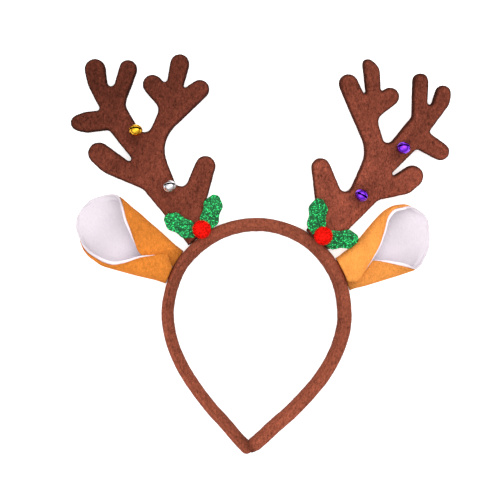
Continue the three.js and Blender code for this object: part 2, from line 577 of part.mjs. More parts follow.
for (const side of SIDES) {
  const { sign, name } = side;

  // The antler, turned about its root
  const root = hoopPoint(sign * side.antler.turn);
  const antlerFrame = new THREE.Group();
  antlerFrame.position.set(root.x, root.y, ANTLER_THICKNESS / 2);
  antlerFrame.rotation.set(rad(side.antler.pitch), rad(sign * side.antler.tilt), rad(-sign * side.antler.lean));
  antlerFrame.rotation.order = 'ZXY';
  headband.add(antlerFrame);
  const pad = named(`antler_${name}`, antlerPad(side.antler, sign), MATERIALS.antler);
  antlerFrame.add(pad);
  restAt(antlerFrame, 0);
  pad.geometry = clearOfHoop(pad.geometry, antlerFrame);

  // The sprig on the antler's front face
  const face = ANTLER_THICKNESS / 2 + GAP;
  for (const place of side.leaves) {
    const blade = named(`holly_leaf_${name}_${place.role}`, leaf(), MATERIALS.leaf);
    blade.position.set(place.x, place.along, face);
    blade.rotation.z = rad(place.turn);
    antlerFrame.add(blade);
  }
  const berry = named(`berry_${name}`, pompom(), MATERIALS.berry);
  berry.position.set(side.berry.x, side.berry.along, face + LEAF_THICKNESS + GAP + BERRY_RADIUS);
  antlerFrame.add(berry);

  // The bells on the same face, each with its slot towards the viewer
  side.bells.forEach((place) => {
    const bellFrame = new THREE.Group();
    bellFrame.rotation.order = 'ZXY';
    bellFrame.rotation.set(rad(-place.tip), 0, rad(sign * side.antler.lean + place.roll));
    const turned = bell().applyQuaternion(bellFrame.quaternion);
    turned.computeBoundingBox();
    const lift = face - turned.boundingBox.min.z;
    bellFrame.position.set(place.x * ANTLER_LENGTH, place.along * ANTLER_LENGTH, lift);
    antlerFrame.add(bellFrame);
    const colour = place.name.split('_')[0];
    bellFrame.add(named(`bell_${place.name}`, bell(), MATERIALS[colour]));
    const pellet = named(`pellet_${place.name}`, new THREE.IcosahedronGeometry(PELLET_RADIUS, 0), MATERIALS.pellet);
    pellet.position.z = -(BELL_RADIUS - BELL_WALL - PELLET_RADIUS) * PELLET_DROP;
    bellFrame.add(pellet);
  });

  // The ear, sewn to the hoop's outer edge
  const earTurn = sign * side.ear.turn;
  const seat = hoopPoint(earTurn, hoopEdge(earTurn));
  const earFrame = new THREE.Group();
  earFrame.position.set(seat.x, seat.y, 0);
  earFrame.rotation.z = rad(90 - earTurn - sign * side.ear.cant);
  headband.add(earFrame);
  const liningDepth = EAR_FELT + GAP;
  const outer = earLayer(side.ear, sign, 0, EAR_FELT);
  // Lofted as its mirror image, so that where the two layers face each other their triangles match
  const lining = mirrored(earLayer(side.ear, -sign, liningDepth, liningDepth + EAR_LINING));
  earFrame.add(named(`ear_outer_${name}`, clearOfHoop(outer, earFrame), MATERIALS.ear));
  earFrame.add(named(`ear_lining_${name}`, clearOfHoop(lining, earFrame), MATERIALS.lining));
}

export default headband;
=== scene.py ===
import math

import bmesh
import bpy
import numpy as np
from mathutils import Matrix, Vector


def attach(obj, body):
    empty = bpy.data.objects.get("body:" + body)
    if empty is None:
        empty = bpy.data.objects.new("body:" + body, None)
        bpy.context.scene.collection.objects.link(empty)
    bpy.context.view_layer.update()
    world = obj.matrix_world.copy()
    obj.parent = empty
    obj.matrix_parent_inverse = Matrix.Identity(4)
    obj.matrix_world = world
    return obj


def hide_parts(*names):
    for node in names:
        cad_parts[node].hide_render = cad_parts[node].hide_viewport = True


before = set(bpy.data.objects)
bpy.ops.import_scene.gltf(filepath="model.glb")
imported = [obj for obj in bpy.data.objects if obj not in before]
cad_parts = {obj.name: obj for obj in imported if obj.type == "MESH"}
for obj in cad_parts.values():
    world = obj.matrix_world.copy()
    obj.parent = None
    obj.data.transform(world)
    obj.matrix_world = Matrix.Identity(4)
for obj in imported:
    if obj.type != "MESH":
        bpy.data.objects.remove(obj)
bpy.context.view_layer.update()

bl_info = {
    "name": "Reindeer Antler Headband",
    "version": (1, 0, 0),
    "blender": (4, 5, 0),
    "location": "View3D > Sidebar > Headband",
    "description": "Padded felt hoop with antlers, rolled ears, holly sprigs and jingle bells",
    "category": "Add Mesh",
}

MM = 0.001

# sizes shared with the solids, in millimetres and degrees

HOOP_RADIUS = 57.4
HOOP_HALF_DEPTH = 6.0
HOOP_THICKNESS = 8.7
# of the left arm (-1) and the right arm (1)
ARM_THICKNESS = {-1: 8.0, 1: 9.4}
HOOP_BLEND_TURN = 65
HOOP_LEAN = 3.3
TIP_PAST = {-1: 2.4, 1: -1.6}
TIP_ROUND = 4.0
# the centreline's turns from the crown, and how far out it lies there as a share of the radius
HOOP_TURNS = np.array([0, 30, 60, 90, 110, 130, 145, 158, 168, 175, 180.0])
HOOP_REACH = np.array([1, 1, 1, 1, 1.006, 1.038, 1.096, 1.195, 1.31, 1.44, 1.552])

# antler: its turn round the hoop, its lean, tilt and pitch, and, as "nap", its painted light: how light it
# is and how much darker it is painted at the tips. berry: across and along the antler. leaves: across, along
# and turn. bells: across and along as shares of the antler's length, then tip and roll. ear: its length,
# turn round the hoop and cant, the flap that lies in front, and how much darker the other one is, as painted
# shade.
SIDES = {
    "left": {
        "sign": -1,
        "antler": {"turn": 35.5, "lean": 28.5, "tilt": 0, "pitch": 0, "nap": (0.92, 0.42)},
        "berry": (1.9, 6.8),
        "leaves": {"low": (-9.1, 15.8, 121), "high": (12.4, 13.8, 46)},
        "bells": {"gold": (-0.036, 0.594, 20, 0), "silver": (-0.022, 0.293, 28, 5)},
        "ear": {"length": 71.0, "turn": 61.2, "cant": 0.8, "front": "lower", "shaded": 0.0},
    },
    "right": {
        "sign": 1,
        "antler": {"turn": 40.0, "lean": 36.3, "tilt": 9, "pitch": 4, "nap": (1.31, 0.54)},
        "berry": (-0.6, 8.9),
        "leaves": {"high": (-9.9, 16.5, 120), "low": (11.3, 13.3, 39)},
        "bells": {"purple_high": (0.057, 0.602, 35, 0), "purple_low": (0.03, 0.316, 8, -28)},
        "ear": {"length": 65.5, "turn": 66.1, "cant": -7.1, "front": "upper", "shaded": 0.17},
    },
}
ANTLER_LENGTH = 140.0
ANTLER_HALF = 5.0
GAP = 0.3

# shares of the ear's length, half width (upper and lower side) and depth, then upper and lower curl
EAR_ROWS = {
    "left": np.array([
        (-0.04, 0.53, -0.53, 0.37, 97, 78), (0.05, 0.58, -0.58, 0.37, 97, 101),
        (0.1, 0.61, -0.61, 0.38, 97, 112), (0.18, 0.68, -0.68, 0.43, 97, 96),
        (0.3, 0.78, -0.78, 0.54, 97, 80), (0.42, 0.87, -0.87, 0.68, 84, 51),
        (0.5, 0.94, -0.93, 0.8, 71, 32), (0.58, 0.99, -0.97, 0.91, 56, 31),
        (0.66, 1.06, -0.94, 0.98, 34, 29), (0.72, 1.1, -0.91, 1, 15, 27),
        (0.79, 1.08, -0.81, 0.96, -5, 18), (0.853, 0.97, -0.68, 0.88, -20, 0),
        (0.908, 0.81, -0.54, 0.78, -30, -15), (0.954, 0.66, -0.385, 0.65, -40, -30),
        (0.984, 0.46, -0.22, 0.5, -50, -45), (1, 0.25, -0.09, 0.38, -55, -55),
    ]),
    "right": np.array([
        (-0.04, 0.51, -0.51, 0.37, 103, 90), (0.06, 0.53, -0.56, 0.37, 129, 90),
        (0.105, 0.55, -0.61, 0.38, 127, 90), (0.187, 0.57, -0.68, 0.43, 108, 90),
        (0.307, 0.67, -0.77, 0.54, 92, 88), (0.39, 0.76, -0.83, 0.63, 85, 76),
        (0.47, 0.845, -0.885, 0.74, 76, 61), (0.57, 0.94, -0.95, 0.88, 59, 35),
        (0.64, 0.99, -1, 0.96, 42, 0), (0.7, 1, -0.96, 1, 31, -8),
        (0.75, 0.99, -0.885, 1, 25, -16), (0.815, 0.92, -0.775, 0.96, 23, -24),
        (0.877, 0.82, -0.625, 0.88, 15, -32), (0.934, 0.64, -0.38, 0.75, -10, -40),
        (0.974, 0.46, -0.16, 0.56, -30, -50), (1, 0.27, 0.03, 0.4, -55, -55),
    ]),
}
EAR_HALF_WIDTH = 21.8
EAR_DEPTH = 22.5
EAR_FELT = 1.5
EAR_LINING = 1.5
EAR_SQUARENESS = 2.4
# the flaps' summed curl where one begins to be lifted over the other, and where it lies on it
FLAP_APART = 120
FLAP_OVER = 165
FLAP_LIFTED = 0.8

LEAF_LENGTH = 23.4
LEAF_WIDTH = 12.4
LEAF_THICKNESS = 1.6
BERRY_RADIUS = 6.2
BELL_RADIUS = 4.0
BELL_WALL = 0.55


# sizes and looks of the visible pieces alone

HOOP_SQUARENESS = 2.5
HOOP_SAG = 0.35
HOOP_SAG_REACH = 24
JOIN_ANGLE = 118
FOLD_EVERY = 7.3
FOLD_DEPTH = 0.04
SWELL_AT = 38
SWELL_REACH = 22
TIPS_MEET = 16
TIPS_APART = 0.2
# for each arm: how far the felt's join turns inwards along it, how much fuller it is on its inner side, how
# dark it is in streaks there, how strong the painted shadow by the tip and the painted shade in the join
# are, and how light it is at the crown and how much painted light it gets towards the tips
ARM_LOOKS = {
    -1: {"join_turns": 34, "swell": 0.7, "streaks": 0.16, "painted_shade_by_tip": 0.4, "pressed": 0.2,
         "level": 1.06, "painted_light_to_tips": 0.1},
    1: {"join_turns": 0, "swell": 0.0, "streaks": 0.0, "painted_shade_by_tip": 0.0, "pressed": 0.1,
        "level": 1.0, "painted_light_to_tips": 0.2},
}

# the pad is drawn in, then simulated so many times as large and over so many frames, and no point
# moves further than the last of these
DRAWN_IN = 0.45
SIMULATED_SIZE = 10
SIMULATED_FRAMES = 20
MOST_SWELL = 1.2
# how much fuller the antlers' sides are beyond the leaves and where they meet the hoop
FILLED_OUT = 0.4
FILLED_AT_HOOP = 0.3
# how far a face may rise where something is sewn to it, and how much further away from that
SEWN_RISE = 0.12
FREE_RISE = 0.8

# along, then for the upper and the lower edge: how far the lining stands out, how far it is lapped
EAR_RIMS = {
    "left": np.array([
        (0, 0, 0, 0, 0), (0.16, 0, 0.1, 0, 0), (0.28, 0, 0.8, 0, 0), (0.38, 0.2, 1.4, 0, 0),
        (0.46, 1, 1.3, 0, 0), (0.55, 1.2, 1.2, 0, 0), (0.6, 1.15, 1.2, 0.05, 0.15),
        (0.66, 1.1, 1.1, 0.2, 0.35), (0.73, 0.5, 1, 1, 0.4), (0.8, 0, 0.8, 1, 0.4),
        (0.9, 0, 0.4, 1, 0.5), (0.96, 0, 0, 1, 1), (1, 0, 0, 1, 1),
    ]),
    "right": np.array([
        (0, 0, 0, 0, 0), (0.1, 0.3, 0, 0, 0), (0.2, 0.6, 0, 0, 0), (0.36, 0.6, 0.4, 0, 0),
        (0.48, 0.6, 1.5, 0, 0), (0.58, 0.6, 1.5, 0, 0.2), (0.64, 0.5, 0.5, 0, 0.8), (0.7, 0.5, 0, 0, 1),
        (0.84, 0.4, 0, 0, 1), (0.9, 0, 0, 0.5, 1), (0.94, 0, 0, 1, 1), (1, 0, 0, 1, 1),
    ]),
}
LAP_SHORT = 3.4
WAVE_EVERY = 19
WAVE_DEPTH = 0.3
# a back flap's painted shade starts and is full so many degrees before and past the section's side
FLAP_SHADE_FROM = 5
FLAP_SHADE_FULL = 15

LEAF_DOME = 0.35
LEAF_CREASE = 0.2
LEAF_CREASE_WIDTH = 0.7
GRAIN_SIZES = (0.17, 0.36)
# how far below the berry's own radius its core and the strands' roots lie
CORE_UNDER = 0.9
ROOT_UNDER = 1.3

SLOT_HALF_WIDTH = 0.56
SLOT_HALF_LENGTH = 2.8
SLOT_HOLE = 0.7
# how far a bell is drawn out along its slot and pressed in across it
BELL_PRESSED = (1.06, 0.96, 1.0)
BELL_RIDGE = 0.18
BELL_RIDGE_WIDTH = 0.28
LOOP_RADIUS = 1.1
LOOP_WIRE = 0.35
PELLET_RADIUS = 1.1
PELLET_DROP = 1.76

# where the camera stands over the headband, in metres
CAMERA_OVER = (-0.00403, -0.01693)


# what a user would change


class HoopSettings(bpy.types.PropertyGroup):
    colour: bpy.props.FloatVectorProperty(
        name="Felt colour", description="Colour of the felt round the hoop", subtype="COLOR",
        size=3, min=0, max=1, default=(0.240, 0.062, 0.034))
    crease: bpy.props.FloatProperty(
        name="Crease depth", description="Depth of the felt's lengthwise join", subtype="DISTANCE",
        unit="LENGTH", min=0, max=0.002, default=0.0004)


class AntlerSettings(bpy.types.PropertyGroup):
    colour: bpy.props.FloatVectorProperty(
        name="Felt colour", description="Colour of the antlers' felt", subtype="COLOR",
        size=3, min=0, max=1, default=(0.165, 0.040, 0.023))
    voxel: bpy.props.FloatProperty(
        name="Grain of the remesh", description="Side of a cell of the remeshed pad",
        subtype="DISTANCE", unit="LENGTH", min=0.0005, max=0.003, default=0.0009)
    pressure: bpy.props.FloatProperty(
        name="Stuffing pressure", description="Inner pressure of the cloth simulation",
        min=0, max=40, default=9)
    seam: bpy.props.FloatProperty(
        name="Seam depth", description="Depth of the groove where the two faces are joined",
        subtype="DISTANCE", unit="LENGTH", min=0, max=0.002, default=0.0009)


class EarSettings(bpy.types.PropertyGroup):
    # the left ear's felt is set darker than the right ear's as painted shade; both ears are of one felt
    left: bpy.props.FloatVectorProperty(
        name="Left ear's felt", description="Colour of the left ear's outer felt", subtype="COLOR",
        size=3, min=0, max=1, default=(0.66, 0.205, 0.030))
    right: bpy.props.FloatVectorProperty(
        name="Right ear's felt", description="Colour of the right ear's outer felt", subtype="COLOR",
        size=3, min=0, max=1, default=(0.88, 0.32, 0.066))
    lining: bpy.props.FloatVectorProperty(
        name="Lining felt", description="Colour of the ears' lining", subtype="COLOR",
        size=3, min=0, max=1, default=(0.783, 0.708, 0.766))
    margin: bpy.props.FloatProperty(
        name="Lining margin", description="How far the lining stands out past the flaps' edges",
        subtype="DISTANCE", unit="LENGTH", min=0, max=0.003, default=0.0012)


class SprigSettings(bpy.types.PropertyGroup):
    leaf: bpy.props.FloatVectorProperty(
        name="Leaf colour", description="Colour of the leaves' glitter", subtype="COLOR",
        size=3, min=0, max=1, default=(0.008, 0.20, 0.052))
    grains: bpy.props.IntProperty(
        name="Glitter grains", description="Grains on each leaf", min=0, max=6000, default=1500)
    berry: bpy.props.FloatVectorProperty(
        name="Berry colour", description="Colour of the berries' wool", subtype="COLOR",
        size=3, min=0, max=1, default=(0.93, 0.011, 0.006))
    strands: bpy.props.IntProperty(
        name="Strands", description="Wool strands of each berry", min=0, max=4000, default=1300)


class BellSettings(bpy.types.PropertyGroup):
    gold: bpy.props.FloatVectorProperty(
        name="Gold", description="Colour of the gold bell", subtype="COLOR",
        size=3, min=0, max=1, default=(0.86, 0.46, 0.03))
    silver: bpy.props.FloatVectorProperty(
        name="Silver", description="Colour of the silver bell", subtype="COLOR",
        size=3, min=0, max=1, default=(0.72, 0.70, 0.72))
    purple: bpy.props.FloatVectorProperty(
        name="Purple", description="Colour of the purple bells", subtype="COLOR",
        size=3, min=0, max=1, default=(0.24, 0.04, 0.90))


class StageSettings(bpy.types.PropertyGroup):
    height: bpy.props.FloatProperty(
        name="Camera height", description="Height of the camera over the headband",
        subtype="DISTANCE", unit="LENGTH", min=0.3, max=3, default=0.855)
    glow: bpy.props.FloatProperty(
        name="Floor glow", description="Light given off by the floor, as of a light table",
        min=0, max=2, default=0.55)
    field: bpy.props.FloatProperty(
        name="Field of view", description="Angle that the view takes in", subtype="ANGLE",
        unit="ROTATION", min=0.1, max=1.5, default=math.radians(21.65))


# numbers and curves


def signed_power(value, squareness):
    """A superellipse's cosine or sine: the value's sign times its size to the power 2 / squareness."""
    return np.sign(value) * np.abs(value) ** (2 / squareness)


def smooth_step(value, low, high):
    """0 below low, 1 above high, and 3t^2 - 2t^3 between them."""
    t = np.clip((np.asarray(value, float) - low) / (high - low), 0, 1)
    return t * t * (3 - 2 * t)


def lattice_noise(points, size, seed):
    """Value noise from -1 to 1: a hashed number at each corner of a lattice of that cell size,
    blended over the cell with smooth steps."""
    cell = points / size
    low = np.floor(cell).astype(np.int64)
    part = cell - low
    part = part * part * (3 - 2 * part)
    total = np.zeros(points.shape[:-1])
    for corner in range(8):
        step = np.array([corner & 1, corner >> 1 & 1, corner >> 2 & 1])
        at = low + step
        mixed = at[..., 0] * 374761393 + at[..., 1] * 668265263 + at[..., 2] * 1274126177 + seed * 144665
        mixed = (mixed ^ (mixed >> 13)) * 1103515245 & 0x7FFFFFFF
        mixed = (mixed ^ (mixed >> 16)) & 0xFFFF
        share = np.prod(np.where(step == 1, part, 1 - part), axis=-1)
        total += share * (mixed / 32767.5 - 1)
    return total


def spline(knots, values, at):
    """Cubic Hermite curve through values at the knots, with the mean slope of the two neighbouring
    spans as its slope at each knot."""
    values = values.reshape(len(knots), -1)
    slopes = np.diff(values, axis=0) / np.diff(knots)[:, None]
    tangents = np.vstack([slopes[:1], (slopes[1:] + slopes[:-1]) / 2, slopes[-1:]])
    span = np.clip(np.searchsorted(knots, at, side="right") - 1, 0, len(knots) - 2)
    width = (knots[span + 1] - knots[span])[:, None]
    t = (at[:, None] - knots[span][:, None]) / width
    return ((2 * t ** 3 - 3 * t ** 2 + 1) * values[span]
            + (t ** 3 - 2 * t ** 2 + t) * width * tangents[span]
            + (3 * t ** 2 - 2 * t ** 3) * values[span + 1]
            + (t ** 3 - t ** 2) * width * tangents[span + 1])


def turn_matrix(axis, degrees):
    """The rotation about x, y or z by an angle."""
    c, s = math.cos(math.radians(degrees)), math.sin(math.radians(degrees))
    return np.array({
        "x": [(1, 0, 0), (0, c, -s), (0, s, c)],
        "y": [(c, 0, s), (0, 1, 0), (-s, 0, c)],
        "z": [(c, -s, 0), (s, c, 0), (0, 0, 1)],
    }[axis])


# meshes


def grid_faces(rows, columns, close_rows=False, close_columns=True):
    """Quads between neighbouring points of a rows x columns grid, numbered row by row."""
    r = np.arange(rows if close_rows else rows - 1)
    c = np.arange(columns if close_columns else columns - 1)
    r, c = [a.ravel() for a in np.meshgrid(r, c, indexing="ij")]
    r2, c2 = (r + 1) % rows, (c + 1) % columns
    return np.stack([r * columns + c, r * columns + c2, r2 * columns + c2, r2 * columns + c], axis=1)


def fan_faces(ring, centre, turned=False):
    """Triangles from a ring of point numbers to one centre point."""
    after = np.roll(ring, -1)
    first, second = (after, ring) if turned else (ring, after)
    return np.stack([first, second, np.full(len(ring), centre)], axis=1)


def closed_tube(rings):
    """The points and faces of a tube from a stack of rings (rows x columns x 3), each end drawn in to
    its middle."""
    rows, columns = rings.shape[:2]
    points = np.vstack([rings.reshape(-1, 3), rings[0].mean(0), rings[-1].mean(0)])
    faces = [grid_faces(rows, columns),
             fan_faces(np.arange(columns), rows * columns, turned=True),
             fan_faces(np.arange(columns) + (rows - 1) * columns, rows * columns + 1)]
    return points, faces


def ball_rings(rows, columns, short):
    """Directions over a ball in rings from its bottom to its top, the end rings an angle short of the
    poles."""
    polar = np.linspace(short, math.pi - short, rows)[::-1]
    angle = np.linspace(0, 2 * math.pi, columns, endpoint=False)
    return np.stack([np.sin(polar)[:, None] * np.cos(angle), np.sin(polar)[:, None] * np.sin(angle),
                     np.broadcast_to(np.cos(polar)[:, None], (rows, columns))], axis=2)


def make_piece(name, points, faces, material):
    """A mesh object from points in millimetres and lists of faces, its place in its mesh."""
    mesh = bpy.data.meshes.new(name)
    corners = [face for group in faces for face in group.tolist()]
    mesh.from_pydata((np.asarray(points) * MM).tolist(), [], corners)
    mesh.validate()
    mesh.polygons.foreach_set("use_smooth", np.ones(len(mesh.polygons), bool))
    mesh.materials.append(material)
    piece = bpy.data.objects.new(name, mesh)
    bpy.context.scene.collection.objects.link(piece)
    return piece


def tube_piece(name, rings, material):
    """A closed tube from a stack of rings."""
    points, faces = closed_tube(rings)
    return make_piece(name, points, faces, material)


def mesh_points(mesh):
    """A mesh's points in millimetres."""
    co = np.empty(len(mesh.vertices) * 3, np.float32)
    mesh.vertices.foreach_get("co", co)
    return co.reshape(-1, 3).astype(float) / MM


def put_points(mesh, points):
    """Writes points in millimetres back to a mesh."""
    mesh.vertices.foreach_set("co", (points * MM).astype(np.float32).ravel())
    mesh.update()


def mesh_normals(mesh):
    """A mesh's point normals."""
    normals = np.empty(len(mesh.vertices) * 3, np.float32)
    mesh.vertices.foreach_get("normal", normals)
    return normals.reshape(-1, 3).astype(float)


def set_shade(mesh, values):
    """Writes how light the surface is at each point, as painted light and shade, in the mesh's own attribute
    "shade".
    """
    if "shade" not in mesh.attributes:
        mesh.attributes.new("shade", "FLOAT", "POINT")
    mesh.attributes["shade"].data.foreach_set("value", np.asarray(values, np.float32).ravel())


def relax(points, edges, rounds, share):
    """Moves each point by a share of the way to the mean of its neighbours, and back by a little more
    in every second round, so that the form keeps its volume."""
    count = np.bincount(edges.ravel(), minlength=len(points))[:, None]
    for turn in range(rounds * 2):
        mean = np.stack([
            np.bincount(edges[:, 0], points[edges[:, 1], k], len(points))
            + np.bincount(edges[:, 1], points[edges[:, 0], k], len(points)) for k in range(3)
        ], axis=1) / np.maximum(count, 1)
        points = points + (mean - points) * (share if turn % 2 == 0 else -share * 1.04)
    return points


def settle(piece, nodes, slot):
    """The piece rides on the part and stands for its solids, which are hidden. The slot is not used."""
    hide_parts(*nodes)
    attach(piece, "root")
    return piece


# materials


def new_group(name, inputs, outputs):
    """An empty shader node group with named sockets."""
    group = bpy.data.node_groups.new(name, "ShaderNodeTree")
    for label, kind, default in inputs:
        socket = group.interface.new_socket(label, in_out="INPUT", socket_type=kind)
        if default is not None:
            socket.default_value = default
    for label, kind in outputs:
        group.interface.new_socket(label, in_out="OUTPUT", socket_type=kind)
    return group, group.nodes.new("NodeGroupInput"), group.nodes.new("NodeGroupOutput")


def add_noise(tree, vector, scale, detail, roughness, distortion=0.0):
    """A noise texture's value on a vector socket."""
    node = tree.nodes.new("ShaderNodeTexNoise")
    node.inputs["Scale"].default_value = scale
    node.inputs["Detail"].default_value = detail
    node.inputs["Roughness"].default_value = roughness
    node.inputs["Distortion"].default_value = distortion
    tree.links.new(vector, node.inputs["Vector"])
    return node.outputs["Fac"]


def spread(tree, value, low, high, to_low, to_high):
    """Maps a value from one range to another."""
    node = tree.nodes.new("ShaderNodeMapRange")
    for label, number in (("From Min", low), ("From Max", high), ("To Min", to_low), ("To Max", to_high)):
        node.inputs[label].default_value = number
    tree.links.new(value, node.inputs["Value"])
    return node.outputs["Result"]


def combine(tree, operation, first, second):
    """A Math node on two sockets or numbers."""
    node = tree.nodes.new("ShaderNodeMath")
    node.operation = operation
    for socket, value in zip(node.inputs, (first, second)):
        if isinstance(value, (int, float)):
            socket.default_value = value
        else:
            tree.links.new(value, socket)
    return node.outputs[0]


def weighted_sum(tree, first, first_weight, second, second_weight):
    """Two values, each times its weight, added."""
    return combine(tree, "ADD", combine(tree, "MULTIPLY", first, first_weight),
                   combine(tree, "MULTIPLY", second, second_weight))


def scaled_colour(tree, colour, level):
    """A colour, or a socket that gives one, times a level."""
    node = tree.nodes.new("ShaderNodeVectorMath")
    node.operation = "SCALE"
    if isinstance(colour, bpy.types.NodeSocket):
        tree.links.new(colour, node.inputs[0])
    else:
        node.inputs[0].default_value = colour
    tree.links.new(level, node.inputs["Scale"])
    return node.outputs[0]


def own_shade(tree):
    """The painted light and shade that the piece's mesh holds at each point."""
    node = tree.nodes.new("ShaderNodeAttribute")
    node.attribute_name = "shade"
    return node.outputs["Fac"]


def napped_felt_group():
    """Napped felt: brushed patches, mottling and single combed fibres of a lighter thread, as colour and as
    height. The fibres' noise is drawn out along y. The shade is painted light and shade: it darkens the felt
    where it turns away from the light or lies in shade, and lightens it in places."""
    group, given, made = new_group(
        "Napped felt",
        [("Vector", "NodeSocketVector", None), ("Color", "NodeSocketColor", (0.5, 0.5, 0.5, 1)),
         ("Mottle", "NodeSocketFloat", 0.25), ("Patches", "NodeSocketFloat", 0.12),
         ("Shade", "NodeSocketFloat", 1.0)],
        [("Color", "NodeSocketColor"), ("Height", "NodeSocketFloat")])
    vector = given.outputs["Vector"]
    combed = group.nodes.new("ShaderNodeVectorMath")
    combed.operation = "MULTIPLY"
    combed.inputs[1].default_value = (1.3, 0.5, 1.3)
    group.links.new(vector, combed.inputs[0])
    patches = add_noise(group, vector, scale=60, detail=2, roughness=0.5)
    mottle = add_noise(group, vector, scale=430, detail=3, roughness=0.7, distortion=0.6)
    fibres = add_noise(group, combed.outputs[0], scale=950, detail=2, roughness=0.75, distortion=1.2)
    patches = spread(group, patches, 0.3, 0.7, -1, 1)
    mottle = spread(group, mottle, 0.32, 0.68, -1, 1)
    fibres = spread(group, fibres, 0.32, 0.68, -1, 1)
    fine = weighted_sum(group, mottle, 0.5, fibres, 1.15)
    change = weighted_sum(group, fine, given.outputs["Mottle"], patches, given.outputs["Patches"])
    level = combine(group, "MULTIPLY", combine(group, "ADD", change, 1.0), given.outputs["Shade"])
    group.links.new(scaled_colour(group, given.outputs["Color"], level), made.inputs["Color"])
    group.links.new(weighted_sum(group, mottle, 0.6, fibres, 0.4), made.inputs["Height"])
    return group


def new_material(name, values):
    """A material with values for its Principled BSDF's inputs, its tree, that shader and its Object
    coordinates."""
    material = bpy.data.materials.new(name)
    material.use_nodes = True
    tree = material.node_tree
    shader = tree.nodes["Principled BSDF"]
    for label, value in values.items():
        shader.inputs[label].default_value = value
    place = tree.nodes.new("ShaderNodeTexCoord")
    return material, tree, shader, place.outputs["Object"]


def felt_material(name, colour, mottle, patches, bump=0.35):
    """Napped felt, its painted light and shade read from the piece's own attribute."""
    material, tree, shader, place = new_material(name, {"Roughness": 1.0, "Specular IOR Level": 0.06})
    nap = tree.nodes.new("ShaderNodeGroup")
    nap.node_tree = bpy.data.node_groups.get("Napped felt") or napped_felt_group()
    nap.inputs["Color"].default_value = (*colour, 1)
    nap.inputs["Mottle"].default_value = mottle
    nap.inputs["Patches"].default_value = patches
    tree.links.new(own_shade(tree), nap.inputs["Shade"])
    tree.links.new(place, nap.inputs["Vector"])
    tree.links.new(nap.outputs["Color"], shader.inputs["Base Color"])
    bumps = tree.nodes.new("ShaderNodeBump")
    bumps.inputs["Strength"].default_value = bump
    bumps.inputs["Distance"].default_value = 0.4 * MM
    tree.links.new(nap.outputs["Height"], bumps.inputs["Height"])
    tree.links.new(bumps.outputs["Normal"], shader.inputs["Normal"])
    return material


def glitter_material(name, colour):
    """Foil grains: a cell pattern gives each grain its own painted glint, most of them dark and a few many
    times lighter."""
    material, tree, shader, place = new_material(
        name, {"Metallic": 0.2, "Roughness": 0.5, "Specular IOR Level": 0.25})
    cells = tree.nodes.new("ShaderNodeTexVoronoi")
    cells.inputs["Scale"].default_value = 1700
    tree.links.new(place, cells.inputs["Vector"])
    split = tree.nodes.new("ShaderNodeSeparateColor")
    tree.links.new(cells.outputs["Color"], split.inputs["Color"])
    # painted glints: a few grains are made many times lighter than the rest
    painted_glint = combine(tree, "POWER", split.outputs["Red"], 5.0)
    level = spread(tree, painted_glint, 0, 1, 0.38, 5.8)
    tree.links.new(scaled_colour(tree, colour, level), shader.inputs["Base Color"])
    return material


def wool_material(name, colour):
    """Bright wool strands, darker here and there."""
    material, tree, shader, place = new_material(name, {"Roughness": 1.0, "Specular IOR Level": 0.05})
    strands = add_noise(tree, place, scale=900, detail=2, roughness=0.6)
    level = spread(tree, strands, 0.32, 0.68, 0.5, 1.4)
    tree.links.new(scaled_colour(tree, colour, level), shader.inputs["Base Color"])
    return material


def polished_material(name, colour, roughness):
    """Pressed and plated sheet metal with faint smears, its painted shade read from the piece's own
    attribute.
    """
    material, tree, shader, place = new_material(name, {"Metallic": 1.0})
    smears = add_noise(tree, place, scale=500, detail=3, roughness=0.5)
    dull = spread(tree, smears, 0.3, 0.7, roughness * 0.8, roughness * 1.3)
    tint = spread(tree, smears, 0.3, 0.7, 0.93, 1.05)
    level = combine(tree, "MULTIPLY", tint, own_shade(tree))
    tree.links.new(dull, shader.inputs["Roughness"])
    tree.links.new(scaled_colour(tree, colour, level), shader.inputs["Base Color"])
    return material


def card_material(glow):
    """White card with the faintest grain, which gives off light of its own."""
    material, tree, shader, place = new_material(
        "white_card", {"Roughness": 0.9, "Emission Color": (1, 1, 1, 1), "Emission Strength": glow})
    grain = add_noise(tree, place, scale=40, detail=3, roughness=0.5)
    tree.links.new(spread(tree, grain, 0.3, 0.7, 0.93, 0.95), shader.inputs["Base Color"])
    return material


# the hoop


def hoop_line(count=3000):
    """The hoop's centreline as evenly spaced points: a smooth curve through places given by their turn
    from the crown and their distance from the round part's centre. Also its length."""
    turns = np.concatenate([-HOOP_TURNS[:0:-1], HOOP_TURNS])
    reach = np.concatenate([HOOP_REACH[:0:-1], HOOP_REACH]) * HOOP_RADIUS
    angle = np.radians(turns + HOOP_LEAN)
    knots = np.stack([reach * np.sin(angle), reach * np.cos(angle) - HOOP_RADIUS], axis=1)
    along = np.concatenate([[0], np.cumsum(np.linalg.norm(np.diff(knots, axis=0), axis=1))])
    fine = spline(along, knots, np.linspace(0, along[-1], 4000))
    length = np.concatenate([[0], np.cumsum(np.linalg.norm(np.diff(fine, axis=0), axis=1))])
    even = np.linspace(0, length[-1], count)
    return np.stack([np.interp(even, length, fine[:, k]) for k in range(2)], axis=1), length[-1]


def arm_half_width(distance):
    """Half the tube's thickness at a signed distance from the crown, eased from the crown's to the
    arm's."""
    arm = np.where(distance < 0, ARM_THICKNESS[-1], ARM_THICKNESS[1])
    share = smooth_step(np.abs(distance), 0, HOOP_RADIUS * math.radians(HOOP_BLEND_TURN))
    return (HOOP_THICKNESS + (arm - HOOP_THICKNESS) * share) / 2


def tip_share(distance, end, least=0.0):
    """The share of its full width that the tube has at a distance along it: it ends in a quarter
    circle."""
    return np.sqrt(np.clip(1 - (np.maximum(distance - end + TIP_ROUND, 0) / TIP_ROUND) ** 2, least, 1))


